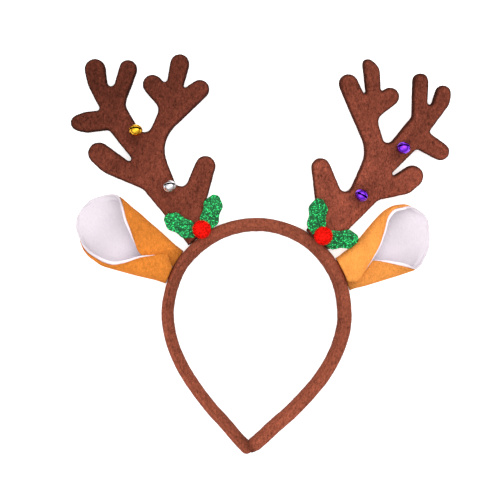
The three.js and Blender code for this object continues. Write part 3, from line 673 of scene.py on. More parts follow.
def arm_line(sign, rows):
    """The centreline at distances from the crown along one arm, and the directions out of the hoop
    there. It lies in a little at the crown, and past its end it goes on straight."""
    line, length = hoop_line()
    at = np.clip(length / 2 + sign * rows, 0, length)
    stations = np.linspace(0, length, len(line))
    centre = np.stack([np.interp(at, stations, line[:, k]) for k in range(2)], axis=1)
    slope = np.gradient(line, axis=0)
    tangent = np.stack([np.interp(at, stations, slope[:, k]) for k in range(2)], axis=1)
    tangent /= np.linalg.norm(tangent, axis=1)[:, None]
    centre += tangent * sign * np.maximum(rows - length / 2, 0)[:, None]
    outward = np.stack([-tangent[:, 1], tangent[:, 0]], axis=1)
    centre -= outward * HOOP_SAG * np.exp(-(rows / HOOP_SAG_REACH) ** 2)[:, None]
    return centre, outward


def hoop_surface(sign, crease):
    """One arm of the tube: superellipse sections carried along the centreline, drawn in to a round tip, with
    the felt's lengthwise join, shallow cross folds on the inner side, and the left arm fuller there. Gives
    the points and their shade: darker on the inner side of the join, with painted shade in the join and on
    the side walls, a painted shadow by the left tip, and painted light that makes it lighter towards the
    tips."""
    looks = ARM_LOOKS[sign]
    end = hoop_line()[1] / 2 + TIP_PAST[sign]
    rows = np.concatenate([np.linspace(0, end - TIP_ROUND, 330),
                           end - TIP_ROUND * (1 - np.sin(np.linspace(0, math.pi / 2, 14)[1:]))])
    size = tip_share(rows, end, least=0.0016)
    centre, outward = arm_line(sign, rows)
    angle = np.linspace(0, 2 * math.pi, 96, endpoint=False) + math.pi / 96
    cosine, sine = signed_power(np.cos(angle), HOOP_SQUARENESS), signed_power(np.sin(angle), HOOP_SQUARENESS)
    across = cosine[None] * arm_half_width(sign * rows)[:, None] * size[:, None]
    up = HOOP_HALF_DEPTH + sine[None] * HOOP_HALF_DEPTH * size[:, None]
    join = np.radians(JOIN_ANGLE - looks["join_turns"] * smooth_step(rows, 20, 75))[:, None]
    from_join = angle[None] - join + 0.05 * np.sin(rows / 9)[:, None]
    groove = np.exp(-(from_join / 0.06) ** 2) * crease / MM
    inner_side = np.clip(-np.cos(angle), 0, 1)[None]
    folds = np.cos(rows * 2 * math.pi / FOLD_EVERY + 1.9 * np.sin(rows / 11))[:, None] * inner_side ** 2
    swell = looks["swell"] * np.exp(-((rows - SWELL_AT) / SWELL_REACH) ** 2)[:, None] * inner_side
    shrink = (groove + FOLD_DEPTH * folds - swell) * size[:, None]
    points = np.concatenate([centre[:, None] + outward[:, None] * across[..., None], up[..., None]], axis=2)
    inward = np.stack([-outward[:, None, 0] * np.cos(angle), -outward[:, None, 1] * np.cos(angle),
                       np.broadcast_to(-np.sin(angle), across.shape)], axis=2)
    nap = 0.06 * lattice_noise(points, 1.6, 3) + 0.10 * lattice_noise(points, 5.0, 4)
    points = points + inward * (shrink - nap * size[:, None])[..., None]
    points[..., 2] = np.maximum(points[..., 2], 0)

    along_arm = smooth_step(rows, 20, 60)[:, None]
    streaks = 0.5 + 0.5 * lattice_noise(points * (1, 1, 0.2), 9.0, 6)
    inner = smooth_step(from_join, -0.16, 0.16) * (0.1 + looks["streaks"] * streaks) * along_arm
    # painted shadow on the left arm's inner side by its tip, where the right tip lies over it
    nearness = smooth_step(rows, end - 15, end - 6) * (1 - 0.8 * smooth_step(rows, end - 4.5, end - 1.5))
    painted_shade_by_tip = looks["painted_shade_by_tip"] * nearness[:, None] * inner_side ** 0.5
    # painted shade in the felt's lengthwise join
    pressed = looks["pressed"] * np.exp(-(from_join / 0.09) ** 2) * along_arm
    # painted shade on the tube's side walls
    wall = 0.3 * smooth_step(np.abs(np.cos(angle)), 0.9, 0.995)[None]
    # painted light: the felt is made lighter towards the tips
    painted_light_to_tips = looks["level"] + looks["painted_light_to_tips"] * smooth_step(rows, 90, 170)[:, None]
    return points, painted_light_to_tips * (1 - inner) * (1 - painted_shade_by_tip) * (1 - pressed) * (1 - wall)


def push_clear(points, line, reach):
    """Moves points that are nearer to a line than reach straight away from it, in the hoop's plane."""
    flat = points[..., :2].reshape(-1, 2)
    away = flat[:, None] - line[None]
    near = np.argmin(np.linalg.norm(away, axis=2), axis=1)
    away = away[np.arange(len(flat)), near]
    distance = np.linalg.norm(away, axis=1)
    lacking = np.maximum(reach[near] - distance, 0)
    moved = flat + away / np.maximum(distance, 1e-6)[:, None] * lacking[:, None]
    out = points.copy()
    out[..., :2] = moved.reshape(points.shape[:-1] + (2,))
    return out


class HEADBAND_OT_hoop(bpy.types.Operator):
    """Felt-wrapped padded tube bent to a teardrop, its tips side by side"""
    bl_idname = "headband.hoop"
    bl_label = "Make Hoop"

    def execute(self, context):
        given = context.scene.headband_hoop
        felt = felt_material("hoop_felt", given.colour, mottle=0.42, patches=0.10)
        right, right_shade = hoop_surface(1, given.crease)
        left, left_shade = hoop_surface(-1, given.crease)
        line, length = hoop_line()
        stations = np.linspace(-length / 2, length / 2, len(line))
        tip_end = length / 2 + TIP_PAST[1]
        near_tip = (stations > length / 2 - TIPS_MEET) & (stations < tip_end - 0.5)
        room = ARM_THICKNESS[1] / 2 * tip_share(stations[near_tip], tip_end) + TIPS_APART
        left[-60:] = push_clear(left[-60:], line[near_tip], room)
        piece = tube_piece("hoop_felt_tube", np.concatenate([left[::-1], right[1:]]), felt)
        shade = np.concatenate([left_shade[::-1], right_shade[1:]]).ravel()
        tip_shade = (0.6, 0.6)
        set_shade(piece.data, np.append(shade, tip_shade))
        settle(piece, ["band"], "hoop_felt")
        return {"FINISHED"}


# the antlers


def antler_frame(side):
    """An antler's own axes as a rotation, and its origin: x to the right, y along, z out of its face.
    The height is found from the solid, whose faces lie the same way from its middle."""
    sign, given = side["sign"], side["antler"]
    rotation = (turn_matrix("z", -sign * given["lean"]) @ turn_matrix("x", given["pitch"])
                @ turn_matrix("y", sign * given["tilt"]))
    angle = math.radians(sign * given["turn"])
    origin = np.array([HOOP_RADIUS * math.sin(angle), HOOP_RADIUS * (math.cos(angle) - 1), 0])
    name = "antler_left" if sign < 0 else "antler_right"
    depth = mesh_points(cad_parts[name].data) @ rotation[:, 2]
    middle = (depth.min() + depth.max()) / 2
    origin[2] = (middle - origin @ rotation[:, 2]) / rotation[2, 2]
    return rotation, origin


def stuffed(piece, local, pressure):
    """Swells a pad with a cloth simulation: its seam is held, it is made larger for the simulation, and
    each point's way is capped. Gives the points' new places in millimetres."""
    rest = mesh_points(piece.data)
    put_points(piece.data, rest * SIMULATED_SIZE)
    held = piece.vertex_groups.new(name="seam")
    strength = np.exp(-(local[:, 2] / 1.2) ** 2)
    for level in np.linspace(0.1, 1, 10):
        chosen = np.nonzero(np.abs(strength - level) <= 0.05)[0]
        held.add(chosen.tolist(), float(level), "REPLACE")
    cloth = piece.modifiers.new("stuffing", "CLOTH")
    cloth.settings.quality = 4
    cloth.settings.mass = 0.2
    cloth.settings.tension_stiffness = 18
    cloth.settings.compression_stiffness = 14
    cloth.settings.shear_stiffness = 6
    cloth.settings.bending_stiffness = 1.5
    cloth.settings.use_pressure = True
    cloth.settings.uniform_pressure_force = pressure
    cloth.settings.vertex_group_mass = "seam"
    cloth.settings.effector_weights.gravity = 0
    cloth.point_cache.frame_start = 1
    cloth.point_cache.frame_end = SIMULATED_FRAMES
    scene = bpy.context.scene
    for number in range(1, SIMULATED_FRAMES + 1):
        scene.frame_set(number)
    shape = piece.evaluated_get(bpy.context.evaluated_depsgraph_get()).to_mesh()
    swollen = mesh_points(shape) / SIMULATED_SIZE
    piece.evaluated_get(bpy.context.evaluated_depsgraph_get()).to_mesh_clear()
    piece.modifiers.remove(cloth)
    piece.vertex_groups.remove(held)
    scene.frame_set(1)
    way = swollen - rest
    far = np.linalg.norm(way, axis=1, keepdims=True)
    return rest + way * np.minimum(1, MOST_SWELL / np.maximum(far, 1e-6))


def remeshed_solid(name, node, voxel):
    """A piece with the form of a node's solid, in even cells."""
    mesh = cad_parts[node].data.copy()
    joined = bmesh.new()
    joined.from_mesh(mesh)
    bmesh.ops.remove_doubles(joined, verts=joined.verts, dist=1e-6)
    joined.to_mesh(mesh)
    joined.free()
    piece = bpy.data.objects.new(name, mesh)
    bpy.context.scene.collection.objects.link(piece)
    remesh = piece.modifiers.new("remesh", "REMESH")
    remesh.mode = "VOXEL"
    remesh.voxel_size = voxel
    remesh.use_smooth_shade = True
    fine = bpy.data.meshes.new_from_object(piece.evaluated_get(bpy.context.evaluated_depsgraph_get()))
    piece.modifiers.clear()
    piece.data = fine
    fine.name = name
    return piece


def mesh_edges(mesh):
    """The point numbers of a mesh's edges."""
    edges = np.empty(len(mesh.edges) * 2, np.int32)
    mesh.edges.foreach_get("vertices", edges)
    return edges.reshape(-1, 2)


def antler_shade(local, normals, seam, nap, bells):
    """How light an antler's felt is, as painted light and shade: darker along it towards the tips, a painted
    shadow at the hoop and round the bells, painted shade in the seam and on the side walls, and a painted
    highlight on the round edge of its face."""
    wall = np.sqrt(np.clip(1 - normals[:, 2] ** 2, 0, 1))
    # painted light: each antler has its own level of light and is painted darker towards its tips
    level, fall = nap
    painted_light_along = level - fall * smooth_step(local[:, 1], 40, 130)
    # painted highlight on the round edge of the face
    painted_edge_highlight = 0.22 * np.exp(-((wall - 0.32) / 0.16) ** 2) * (normals[:, 2] > 0)
    by_bell = np.linalg.norm(local[:, None, :2] - np.array(bells)[None], axis=2).min(axis=1)
    # painted shadow where the antler meets the hoop and round the bells
    painted_shadow_at_hoop_and_bells = (1 - 0.3 * (1 - smooth_step(local[:, 1], -3, 5))) * (1 - 0.16 * np.exp(-(by_bell / 8) ** 2))
    # painted shade on the side walls
    painted_wall_shade = 1 - 0.58 * smooth_step(wall, 0.5, 0.92)
    # the seam's groove is also darkened, as painted shade
    return painted_light_along * painted_shadow_at_hoop_and_bells * (1 + painted_edge_highlight) * painted_wall_shade * (1 - 0.45 * seam)


def padded_antler(name, node, side, given, felt):
    """Two felt faces with stuffing between them: the solid is remeshed, drawn in, swollen by the cloth
    simulation, and its seam, gathers and nap are set in afterwards. It stays flat where something is
    sewn to it."""
    rotation, origin = antler_frame(side)

    def to_local(points):
        return (points - origin) @ rotation

    def to_world(points):
        return points @ rotation.T + origin

    piece = remeshed_solid(name, node, given.voxel)
    fine = piece.data
    edges = mesh_edges(fine)
    rest = relax(mesh_points(fine), edges, 3, 0.5)
    put_points(fine, rest)
    local = to_local(rest)
    if given.pressure > 0:
        put_points(fine, rest - mesh_normals(fine) * DRAWN_IN)
        swollen = to_local(relax(stuffed(piece, local, given.pressure), edges, 2, 0.5))
        face = smooth_step(np.abs(local[:, 2]), 3.2, 4.8)[:, None]
        local = local + (swollen - local) * face
        put_points(fine, to_world(local))
    normals = mesh_normals(fine) @ rotation
    wall = np.sqrt(np.clip(1 - normals[:, 2] ** 2, 0, 1))
    seam = np.exp(-(local[:, 2] / 0.8) ** 2) * smooth_step(wall, 0.5, 0.9)
    gathers = lattice_noise(local * (1, 1, 0.15), 2.6, 11) * np.exp(-(local[:, 2] / 2.6) ** 2) * wall * 0.12
    nap = 0.07 * lattice_noise(local, 1.5, 12) + 0.10 * lattice_noise(local, 6.5, 13)
    local = local + normals * (nap + gathers - seam * given.seam / MM)[:, None]
    by_hoop = 1 - smooth_step(local[:, 1], 2, 14)
    filled = (FILLED_OUT * wall * smooth_step(local[:, 1], 24, 44)
              + FILLED_AT_HOOP * np.clip(-normals[:, 1], 0, 1) * by_hoop)
    local = local + normals * (1, 1, 0) * filled[:, None]
    leaves = [place[:2] for place in side["leaves"].values()]
    bells = [(x * ANTLER_LENGTH, along * ANTLER_LENGTH) for x, along, _, _ in side["bells"].values()]
    sewn = np.array([side["berry"], *leaves, *bells])
    near = np.linalg.norm(local[:, None, :2] - sewn[None], axis=2).min(axis=1)
    room = ANTLER_HALF + SEWN_RISE + FREE_RISE * smooth_step(near, 7, 20)
    local[:, 2] = np.minimum(local[:, 2], room)
    points = to_world(local)
    points[:, 2] = np.maximum(points[:, 2], 0.02)
    put_points(fine, points)
    set_shade(fine, antler_shade(local, normals, seam, side["antler"]["nap"], bells))
    fine.materials.clear()
    fine.materials.append(felt)
    fine.polygons.foreach_set("use_smooth", np.ones(len(fine.polygons), bool))
    return piece


class HEADBAND_OT_antlers(bpy.types.Operator):
    """Two stuffed felt antlers, one each side of the crown"""
    bl_idname = "headband.antlers"
    bl_label = "Make Antlers"

    def execute(self, context):
        given = context.scene.headband_antlers
        felt = felt_material("antler_felt", given.colour, mottle=0.5, patches=0.16)
        for name, side in SIDES.items():
            piece = padded_antler(f"antler_pad_{name}", f"antler_{name}", side, given, felt)
            settle(piece, [f"antler_{name}"], "antler_felt")
        return {"FINISHED"}


# the ears


def side_reach(curl):
    """The share of its half width at which a section ends on one side: less than all of it where the
    curl is below zero, as the felt then stops short of the section's side."""
    return np.where(curl < 0, signed_power(np.cos(np.radians(curl)), EAR_SQUARENESS), 1)[:, None]


def ear_sections(side_name, share):
    """The sections of a rolled ear at shares of its length: C-shaped parts of a superellipse whose
    sides, depth and curl change along the ear, the front flap lifted over the other near the hoop.
    Gives the angles where each one starts and ends, and a function for its points."""
    table = EAR_ROWS[side_name]
    front = SIDES[side_name]["ear"]["front"]
    upper, lower, depth, upper_curl, lower_curl = spline(table[:, 0], table[:, 1:], share).T
    upper, lower = upper * EAR_HALF_WIDTH, lower * EAR_HALF_WIDTH
    middle, half_width, half_depth = (upper + lower) / 2, (upper - lower) / 2, depth * EAR_DEPTH / 2
    closed = np.clip((upper_curl + lower_curl - FLAP_APART) / (FLAP_OVER - FLAP_APART), 0, 1)
    lift = (EAR_FELT + EAR_LINING + 4 * GAP) * closed
    upper_reach, lower_reach = side_reach(upper_curl), side_reach(lower_curl)

    def section(angle, into):
        """The points across and up at angles of the sections and at a depth into the felt."""
        cosine = signed_power(np.cos(np.radians(angle)), EAR_SQUARENESS)
        sine = signed_power(np.sin(np.radians(angle)), EAR_SQUARENESS)
        wide = half_width[:, None] / np.where(cosine > 0, upper_reach, lower_reach)
        in_front = angle < 180 if front == "lower" else angle > 360
        lifted = np.where(in_front, smooth_step(np.abs(sine), 0, FLAP_LIFTED), 0)
        z = half_depth[:, None] + sine * (half_depth[:, None] - into) + lift[:, None] * lifted
        return middle[:, None] + cosine * (wide - into), z

    return 180 - lower_curl, 360 + upper_curl, section


def degree_length(section, edge):
    """The length of one degree of each section at its edge."""
    before, after = section(edge[:, None] - 1.0, 0.0), section(edge[:, None] + 1.0, 0.0)
    return np.maximum(np.hypot(after[0] - before[0], after[1] - before[1])[:, 0] / 2, 0.05)


def ear_seat(side):
    """Where an ear sits on the hoop's outer edge, the directions along and across it, and how far its
    base stays from the middle of the hoop's round part."""
    sign, ear = side["sign"], side["ear"]
    turn = math.radians(sign * ear["turn"])
    edge = float(arm_half_width(np.array([sign * HOOP_RADIUS * math.radians(ear["turn"])]))[0])
    heading = math.pi / 2 - turn - math.radians(sign * ear["cant"])
    outer = HOOP_RADIUS + edge
    seat = np.array([outer * math.sin(turn), outer * math.cos(turn) - HOOP_RADIUS])
    ahead = np.array([math.cos(heading), math.sin(heading)])
    aside = np.array([-math.sin(heading), math.cos(heading)])
    return seat, ahead, aside, outer + GAP


def ear_layer(side_name, outer_depth, inner_depth, margin):
    """One felt layer of a rolled ear, as rings of points and their shade. Each ring runs along the outer
    face, round a soft edge, back along the inner face and round the other edge, and slow waves run over the
    felt. The lining stands out past the outer felt at the flaps' edges, and where it is lapped it takes the
    place of the outer felt, which ends short of it. The base is cut to the hoop's edge. The lining is
    painted lighter on its cut edges and towards its two ends and darker in its middle; the outer felt is a
    little darker by its cut edges and has painted shadow at the hoop and painted shade on the back flap."""
    side = SIDES[side_name]
    sign, ear = side["sign"], side["ear"]
    length = ear["length"]
    share = np.concatenate([np.linspace(0, 0.88, 74), np.linspace(0.88, 1, 47)[1:]])
    first, last, section = ear_sections(side_name, share)
    first_step, last_step = degree_length(section, first), degree_length(section, last)
    rims = EAR_RIMS[side_name]
    stand_up, stand_low, lap_up, lap_low = [np.interp(share, rims[:, 0], rims[:, k]) for k in range(1, 5)]
    is_lining = outer_depth > 0
    wall = (inner_depth - outer_depth) / 2
    short_low = 0 if is_lining else stand_low * margin + lap_low * LAP_SHORT
    short_up = 0 if is_lining else stand_up * margin + lap_up * LAP_SHORT
    first = first + (wall + short_low) / first_step
    last = last - (wall + short_up) / last_step

    turns = 88
    bend = np.linspace(0, math.pi, 8)[1:-1]
    travel = np.concatenate([np.linspace(0, 1, turns), np.ones(6), np.linspace(1, 0, turns), np.zeros(6)])
    face = np.concatenate([-np.ones(turns), -np.cos(bend), np.ones(turns), np.cos(bend)])
    past_last = np.concatenate([np.zeros(turns), np.sin(bend), np.zeros(turns + 6)]) * wall
    past_first = np.concatenate([np.zeros(2 * turns + 6), np.sin(bend)]) * wall
    angle = first[:, None] + (last - first)[:, None] * travel[None]
    to_first = (angle - first[:, None]) * first_step[:, None]
    to_last = (last[:, None] - angle) * last_step[:, None]
    angle = angle + past_last[None] / last_step[:, None] - past_first[None] / first_step[:, None]
    to_tip = np.clip((share - 1) * length / wall + 1, 0, 1)
    taper = np.sqrt(np.clip(1 - to_tip ** 2, 0.004, 1))
    into = outer_depth + wall + face[None] * wall * taper[:, None]
    lapped = (lap_up[:, None] * (1 - smooth_step(to_last, 0.3, LAP_SHORT))
              + lap_low[:, None] * (1 - smooth_step(to_first, 0.3, LAP_SHORT)))
    into = into - outer_depth * np.clip(lapped, 0, 1)
    along = share[:, None] * length / WAVE_EVERY
    waves = np.stack(np.broadcast_arrays(along, angle / 62, sign * 3.0), axis=2)
    into = into + WAVE_DEPTH * lattice_noise(waves, 1.0, 21) * smooth_step(share, 0.2, 0.5)[:, None]
    y, z = section(angle, into)

    seat, ahead, aside, base_radius = ear_seat(side)
    from_centre = seat - (0, -HOOP_RADIUS)
    centre_x, centre_y = -from_centre @ ahead, -from_centre @ aside
    start = centre_x + np.sqrt(base_radius ** 2 - (sign * y[0] - centre_y) ** 2)
    x = start[None] + (length - start[None]) * share[:, None]
    place = seat + x[..., None] * ahead + (sign * y)[..., None] * aside
    points = np.concatenate([place, np.maximum(z, 0.02)[..., None]], axis=2)

    # near the cut edges the lining is painted lighter, and the outer felt is a little darker
    cut = np.maximum((1 - smooth_step(to_first, 1.3, 2.9)) * (1 - 0.7 * lap_low[:, None]),
                     (1 - smooth_step(to_last, 0.9, 2.0)) * (1 - lap_up[:, None]))
    # near the hoop, where the outer felt gets painted shadow
    by_hoop = 1 - smooth_step(x - start[None], 0, 9)
    # the back flap, which gets painted shade
    if ear["front"] == "lower":
        behind = smooth_step(angle, 360 - FLAP_SHADE_FROM, 360 + FLAP_SHADE_FULL)
    else:
        behind = 1 - smooth_step(angle, 180 - FLAP_SHADE_FULL, 180 + FLAP_SHADE_FROM)
    if is_lining:
        # painted light on the lining by the base and towards the tip, and painted shade in its middle
        painted_light_by_base = 0.15 * smooth_step(-share, -0.75, -0.4)[:, None]
        painted_shade_by_tip = 0.1 * smooth_step(share, 0.6, 0.97)[:, None]
        shade = np.maximum(0.79 + (painted_light_by_base + painted_shade_by_tip), 1.22 * cut * (face[None] < 0.9))
    else:
        # the outer felt: a little darker by its cut edges, with painted shadow by the hoop that is deeper on
        # the back flap, and painted shade over the back flap
        shade = (1 - 0.1 * cut) * (1 - by_hoop * (0.08 + 0.3 * behind)) * (1 - behind * ear["shaded"])
    if sign < 0:
        points, shade = points[:, ::-1], shade[:, ::-1]
    return points, shade


def surface_area(rings):
    """Half the area of a thin layer's closed surface: the sum of its quads' diagonal cross products."""
    a, b = rings[:-1], rings[1:]
    a2, b2 = np.roll(a, -1, axis=1), np.roll(b, -1, axis=1)
    return float(np.linalg.norm(np.cross(b2 - a, b - a2), axis=2).sum() / 4)


class HEADBAND_OT_ears(bpy.types.Operator):
    """Two rolled ears, each of an outer felt and a white lining"""
    bl_idname = "headband.ears"
    bl_label = "Make Ears"

    def execute(self, context):
        given = context.scene.headband_ears
        lining_felt = felt_material("lining_felt", given.lining, mottle=0.035, patches=0.02, bump=0.2)
        depth = EAR_FELT + GAP
        for name, side in SIDES.items():
            colour = getattr(given, name)
            outer_felt = felt_material(f"ear_felt_{name}", colour, mottle=0.2, patches=0.08, bump=0.3)
            for role, low, high, felt, slot in (
                ("outer", 0.0, EAR_FELT, outer_felt, "ear_felt"),
                ("lining", depth, depth + EAR_LINING, lining_felt, "lining_felt"),
            ):
                rings, shade = ear_layer(name, low, high, given.margin / MM)
                piece = tube_piece(f"ear_{role}_felt_{name}", rings, felt)
                set_shade(piece.data, np.append(shade.ravel(), (1, 1)))
                settle(piece, [f"ear_{role}_{name}"], slot)
                widest = np.linalg.norm(np.diff(rings, axis=1), axis=2).sum(axis=1).max() / 2
                surface_area(rings) * MM * MM
        return {"FINISHED"}


# the holly sprigs


def leaf_half_width(turn):
    """The leaf's half width at a share of the turn round its edge: a blunt superellipse with three
    bumps a side."""
    bulge = signed_power(np.sin(math.pi * turn), 2.5)
    return LEAF_WIDTH / 2 * bulge * (1 + 0.11 * np.cos(6 * math.pi * turn))


def leaf_end(turn):
    """1 over most of the leaf, falling to 0 like a quarter circle at its two ends."""
    return np.sqrt(np.clip(np.sin(math.pi * turn) * 3, 0, 1))


def leaf_rise(share, y, end):
    """How far the leaf's face rises at a share of its half width: a dome less a crease along its
    middle."""
    return (LEAF_DOME * (1 - share ** 2) - LEAF_CREASE * np.exp(-(y / LEAF_CREASE_WIDTH) ** 2)) * end


def leaf_surface(seed):
    """A leaf's closed surface: sections across it, flat below and slightly domed above, with rounded
    edges, a shallow crease along its middle and a gentle wave."""
    t = np.linspace(0.006, 0.994, 70)
    x = LEAF_LENGTH / 2 * np.cos(math.pi * t)
    angle = np.linspace(0, 2 * math.pi, 56, endpoint=False)
    across = signed_power(np.cos(angle), 2.6)[None]
    up = signed_power(np.sin(angle), 5.0)[None]
    end = leaf_end(t)[:, None]
    y = leaf_half_width(t)[:, None] * across
    top = up > 0
    z = LEAF_THICKNESS / 2 + LEAF_THICKNESS / 2 * end * up + np.where(top, leaf_rise(across, y, end), 0)
    points = np.stack([np.broadcast_to(x[:, None], y.shape), y, z], axis=2)
    points[..., 2] += np.where(top, 0.16 * lattice_noise(points * (1, 1, 0), 3.4, seed), 0)
    return points


def glitter_grains(count, seed):
    """Foil grains: tetrahedra at random places on the leaf, as many to each part of its face, each
    turned its own way."""
    chance = np.random.default_rng(seed)
    t = np.arccos(chance.uniform(-0.985, 0.985, count)) / math.pi
    side = chance.uniform(-0.97, 0.97, count)
    half = leaf_half_width(t)
    keep = chance.uniform(0, LEAF_WIDTH * 0.56, count) < half
    t, side, half = t[keep], side[keep], half[keep]
    end = leaf_end(t)
    y = half * side
    up = LEAF_THICKNESS / 2 * (1 + end * (1 - np.abs(side) ** 6)) + leaf_rise(side, y, end)
    middle = np.stack([LEAF_LENGTH / 2 * np.cos(math.pi * t), y, up], axis=1)
    corners = np.array([(1, 1, 1), (1, -1, -1), (-1, 1, -1), (-1, -1, 1)]) / math.sqrt(3)
    turn, _ = np.linalg.qr(chance.normal(size=(len(t), 3, 3)))
    turn[:, :, 2] *= np.sign(np.linalg.det(turn))[:, None]
    size = chance.uniform(*GRAIN_SIZES, len(t))
    points = middle[:, None] + np.einsum("nij,cj->nci", turn, corners) * size[:, None, None]
    first = np.arange(len(t))[:, None, None] * len(corners)
    faces = (first + np.array([(0, 1, 2), (0, 3, 1), (0, 2, 3), (1, 3, 2)])[None]).reshape(-1, 3)
    return points.reshape(-1, 3), faces


class HEADBAND_OT_leaves(bpy.types.Operator):
    """Four blunt felt leaves under green glitter"""
    bl_idname = "headband.leaves"
    bl_label = "Make Leaves"

    def execute(self, context):
        given = context.scene.headband_sprigs
        glitter = glitter_material("green_glitter", given.leaf)
        for side_name, side in SIDES.items():
            rotation, origin = antler_frame(side)
            for number, (role, (x, along, turn)) in enumerate(side["leaves"].items()):
                seed = 40 + number * 7 + side["sign"]
                body, faces = closed_tube(leaf_surface(seed))
                grains, grain_faces = glitter_grains(given.grains, seed)
                local = np.vstack([body, grains]) @ turn_matrix("z", turn).T + (x, along, ANTLER_HALF + GAP)
                points = local @ rotation.T + origin
                faces.append(grain_faces + len(body))
                piece = make_piece(f"holly_leaf_glitter_{side_name}_{role}", points, faces, glitter)
                count = len(piece.data.polygons)
                piece.data.polygons.foreach_set("use_smooth", np.arange(count) < count - len(grain_faces))
                settle(piece, [f"holly_leaf_{side_name}_{role}"], "glitter_felt")
        return {"FINISHED"}


def even_directions(count):
    """Directions spread evenly over a ball: equal steps in height, each a golden angle round."""
    height = 1 - (2 * np.arange(count) + 1) / count
    angle = np.arange(count) * math.pi * (3 - math.sqrt(5))
    flat = np.sqrt(1 - height ** 2)
    return np.stack([flat * np.cos(angle), flat * np.sin(angle), height], axis=1)


def berry_shape(strands, seed):
    """A wool ball: a lumpy core and thin three-sided strands that stand out of it, each bent a little
    its own way and of its own length."""
    chance = np.random.default_rng(seed)
    core = ball_rings(26, 44, short=0.02)
    core = core * (BERRY_RADIUS - CORE_UNDER + 0.35 * lattice_noise(core * 5, 1.3, seed))[..., None]
    points, faces = closed_tube(core)
    way = even_directions(strands) + chance.normal(scale=0.05, size=(strands, 3))
    way /= np.linalg.norm(way, axis=1, keepdims=True)
    lean = way + chance.normal(scale=0.42, size=(strands, 3))
    lean /= np.linalg.norm(lean, axis=1, keepdims=True)
    side = np.cross(way, chance.normal(size=(strands, 3)))
    side /= np.linalg.norm(side, axis=1, keepdims=True)
    other = np.cross(way, side)
    root = way * (BERRY_RADIUS - ROOT_UNDER)
    long = chance.uniform(0.75, 1.35, strands)[:, None]
    knee = root + way * long * 0.7
    tip = knee + lean * long * 0.55
    corner = np.array([0, 2 * math.pi / 3, 4 * math.pi / 3])
    ring = side[:, None] * np.cos(corner)[None, :, None] + other[:, None] * np.sin(corner)[None, :, None]
    thick = chance.uniform(0.13, 0.2, strands)[:, None, None]
    strand = np.concatenate([root[:, None] + ring * thick, knee[:, None] + ring * thick * 0.8,
                             tip[:, None]], axis=1)
    sides = np.array([(0, 1, 4), (0, 4, 3), (1, 2, 5), (1, 5, 4), (2, 0, 3), (2, 3, 5),
                      (3, 4, 6), (4, 5, 6), (5, 3, 6), (0, 2, 1)])
    first = len(points) + np.arange(strands)[:, None, None] * strand.shape[1]
    faces.append((first + sides[None]).reshape(-1, 3))
    return np.vstack([points, strand.reshape(-1, 3)]), faces


class HEADBAND_OT_berries(bpy.types.Operator):
    """A red wool pompom on each sprig"""
    bl_idname = "headband.berries"
    bl_label = "Make Berries"

    def execute(self, context):
        given = context.scene.headband_sprigs
        wool = wool_material("red_wool", given.berry)
        for side_name, side in SIDES.items():
            rotation, origin = antler_frame(side)
            points, faces = berry_shape(given.strands, 60 + side["sign"])
            height = ANTLER_HALF + GAP + LEAF_THICKNESS + GAP + BERRY_RADIUS
            points = (points + (*side["berry"], height)) @ rotation.T + origin
            piece = make_piece(f"berry_wool_{side_name}", points, faces, wool)
            settle(piece, [f"berry_{side_name}"], "wool")
        return {"FINISHED"}


# the bells


def slot_outline(angle):
    """The slot's edge as seen from the front: a thin bar with a round hole at each end. Its distance
    from the middle in each direction is the furthest of the bar's and the two holes'."""
    c, s = np.abs(np.cos(angle)), np.abs(np.sin(angle))
    along_bar = np.minimum(SLOT_HALF_WIDTH / np.maximum(s, 1e-6), SLOT_HALF_LENGTH / np.maximum(c, 1e-6))
    inside = SLOT_HOLE ** 2 - (SLOT_HALF_LENGTH * s) ** 2
    past = np.where(inside > 0, SLOT_HALF_LENGTH * c + np.sqrt(np.clip(inside, 0, None)), 0)
    return np.maximum(along_bar, past)


def bell_surface():
    """A hollow ball: rings from the slot's edge over the front to the seam that stands out round its
    middle, over the back, then back along the inside to the slot again."""
    # directions closer together where the slot's outline turns fast
    base = np.linspace(0, 2 * math.pi, 96, endpoint=False)
    angle = base - 0.42 * np.sin(2 * base)
    rim = slot_outline(angle)
    away = np.stack([np.cos(angle), np.sin(angle)], axis=1)

    def front(radius, count):
        share = np.linspace(0, 1, count) ** 0.8
        reach = rim[None] + (radius - rim[None]) * share[:, None]
        reach = np.minimum(reach, radius * 0.99995)
        height = np.sqrt(np.clip(radius ** 2 - reach ** 2, 0, None))
        return np.concatenate([reach[..., None] * away[None], height[..., None]], axis=2)

    def back(radius, count):
        polar = np.linspace(math.pi / 2, math.pi, count)[1:, None, None]
        flat = np.maximum(np.sin(polar), 0.004) * radius * away[None]
        height = np.broadcast_to(np.cos(polar) * radius, (count - 1, len(angle), 1))
        return np.concatenate([flat, height], axis=2)

    outer = np.concatenate([front(BELL_RADIUS, 22), back(BELL_RADIUS, 18)])
    ridge = BELL_RIDGE * np.exp(-(outer[..., 2] / BELL_RIDGE_WIDTH) ** 2)
    outer[..., :2] *= (1 + ridge / BELL_RADIUS)[..., None]
    inner = np.concatenate([front(BELL_RADIUS - BELL_WALL, 12), back(BELL_RADIUS - BELL_WALL, 10)])
    return outer * BELL_PRESSED, inner * BELL_PRESSED


def ring_tube(radius, wire, around=40, sides=12):
    """A wire ring that stands upright: a small circle carried round a large one, in the xz plane. Its
    points and faces."""
    a = np.linspace(0, 2 * math.pi, around, endpoint=False)[:, None]
    b = np.linspace(0, 2 * math.pi, sides, endpoint=False)[None]
    flat = radius + wire * np.cos(b)
    across = np.broadcast_to(wire * np.sin(b), (around, sides))
    points = np.stack([flat * np.cos(a), across, flat * np.sin(a)], axis=2).reshape(-1, 3)
    return points, grid_faces(around, sides, close_rows=True)


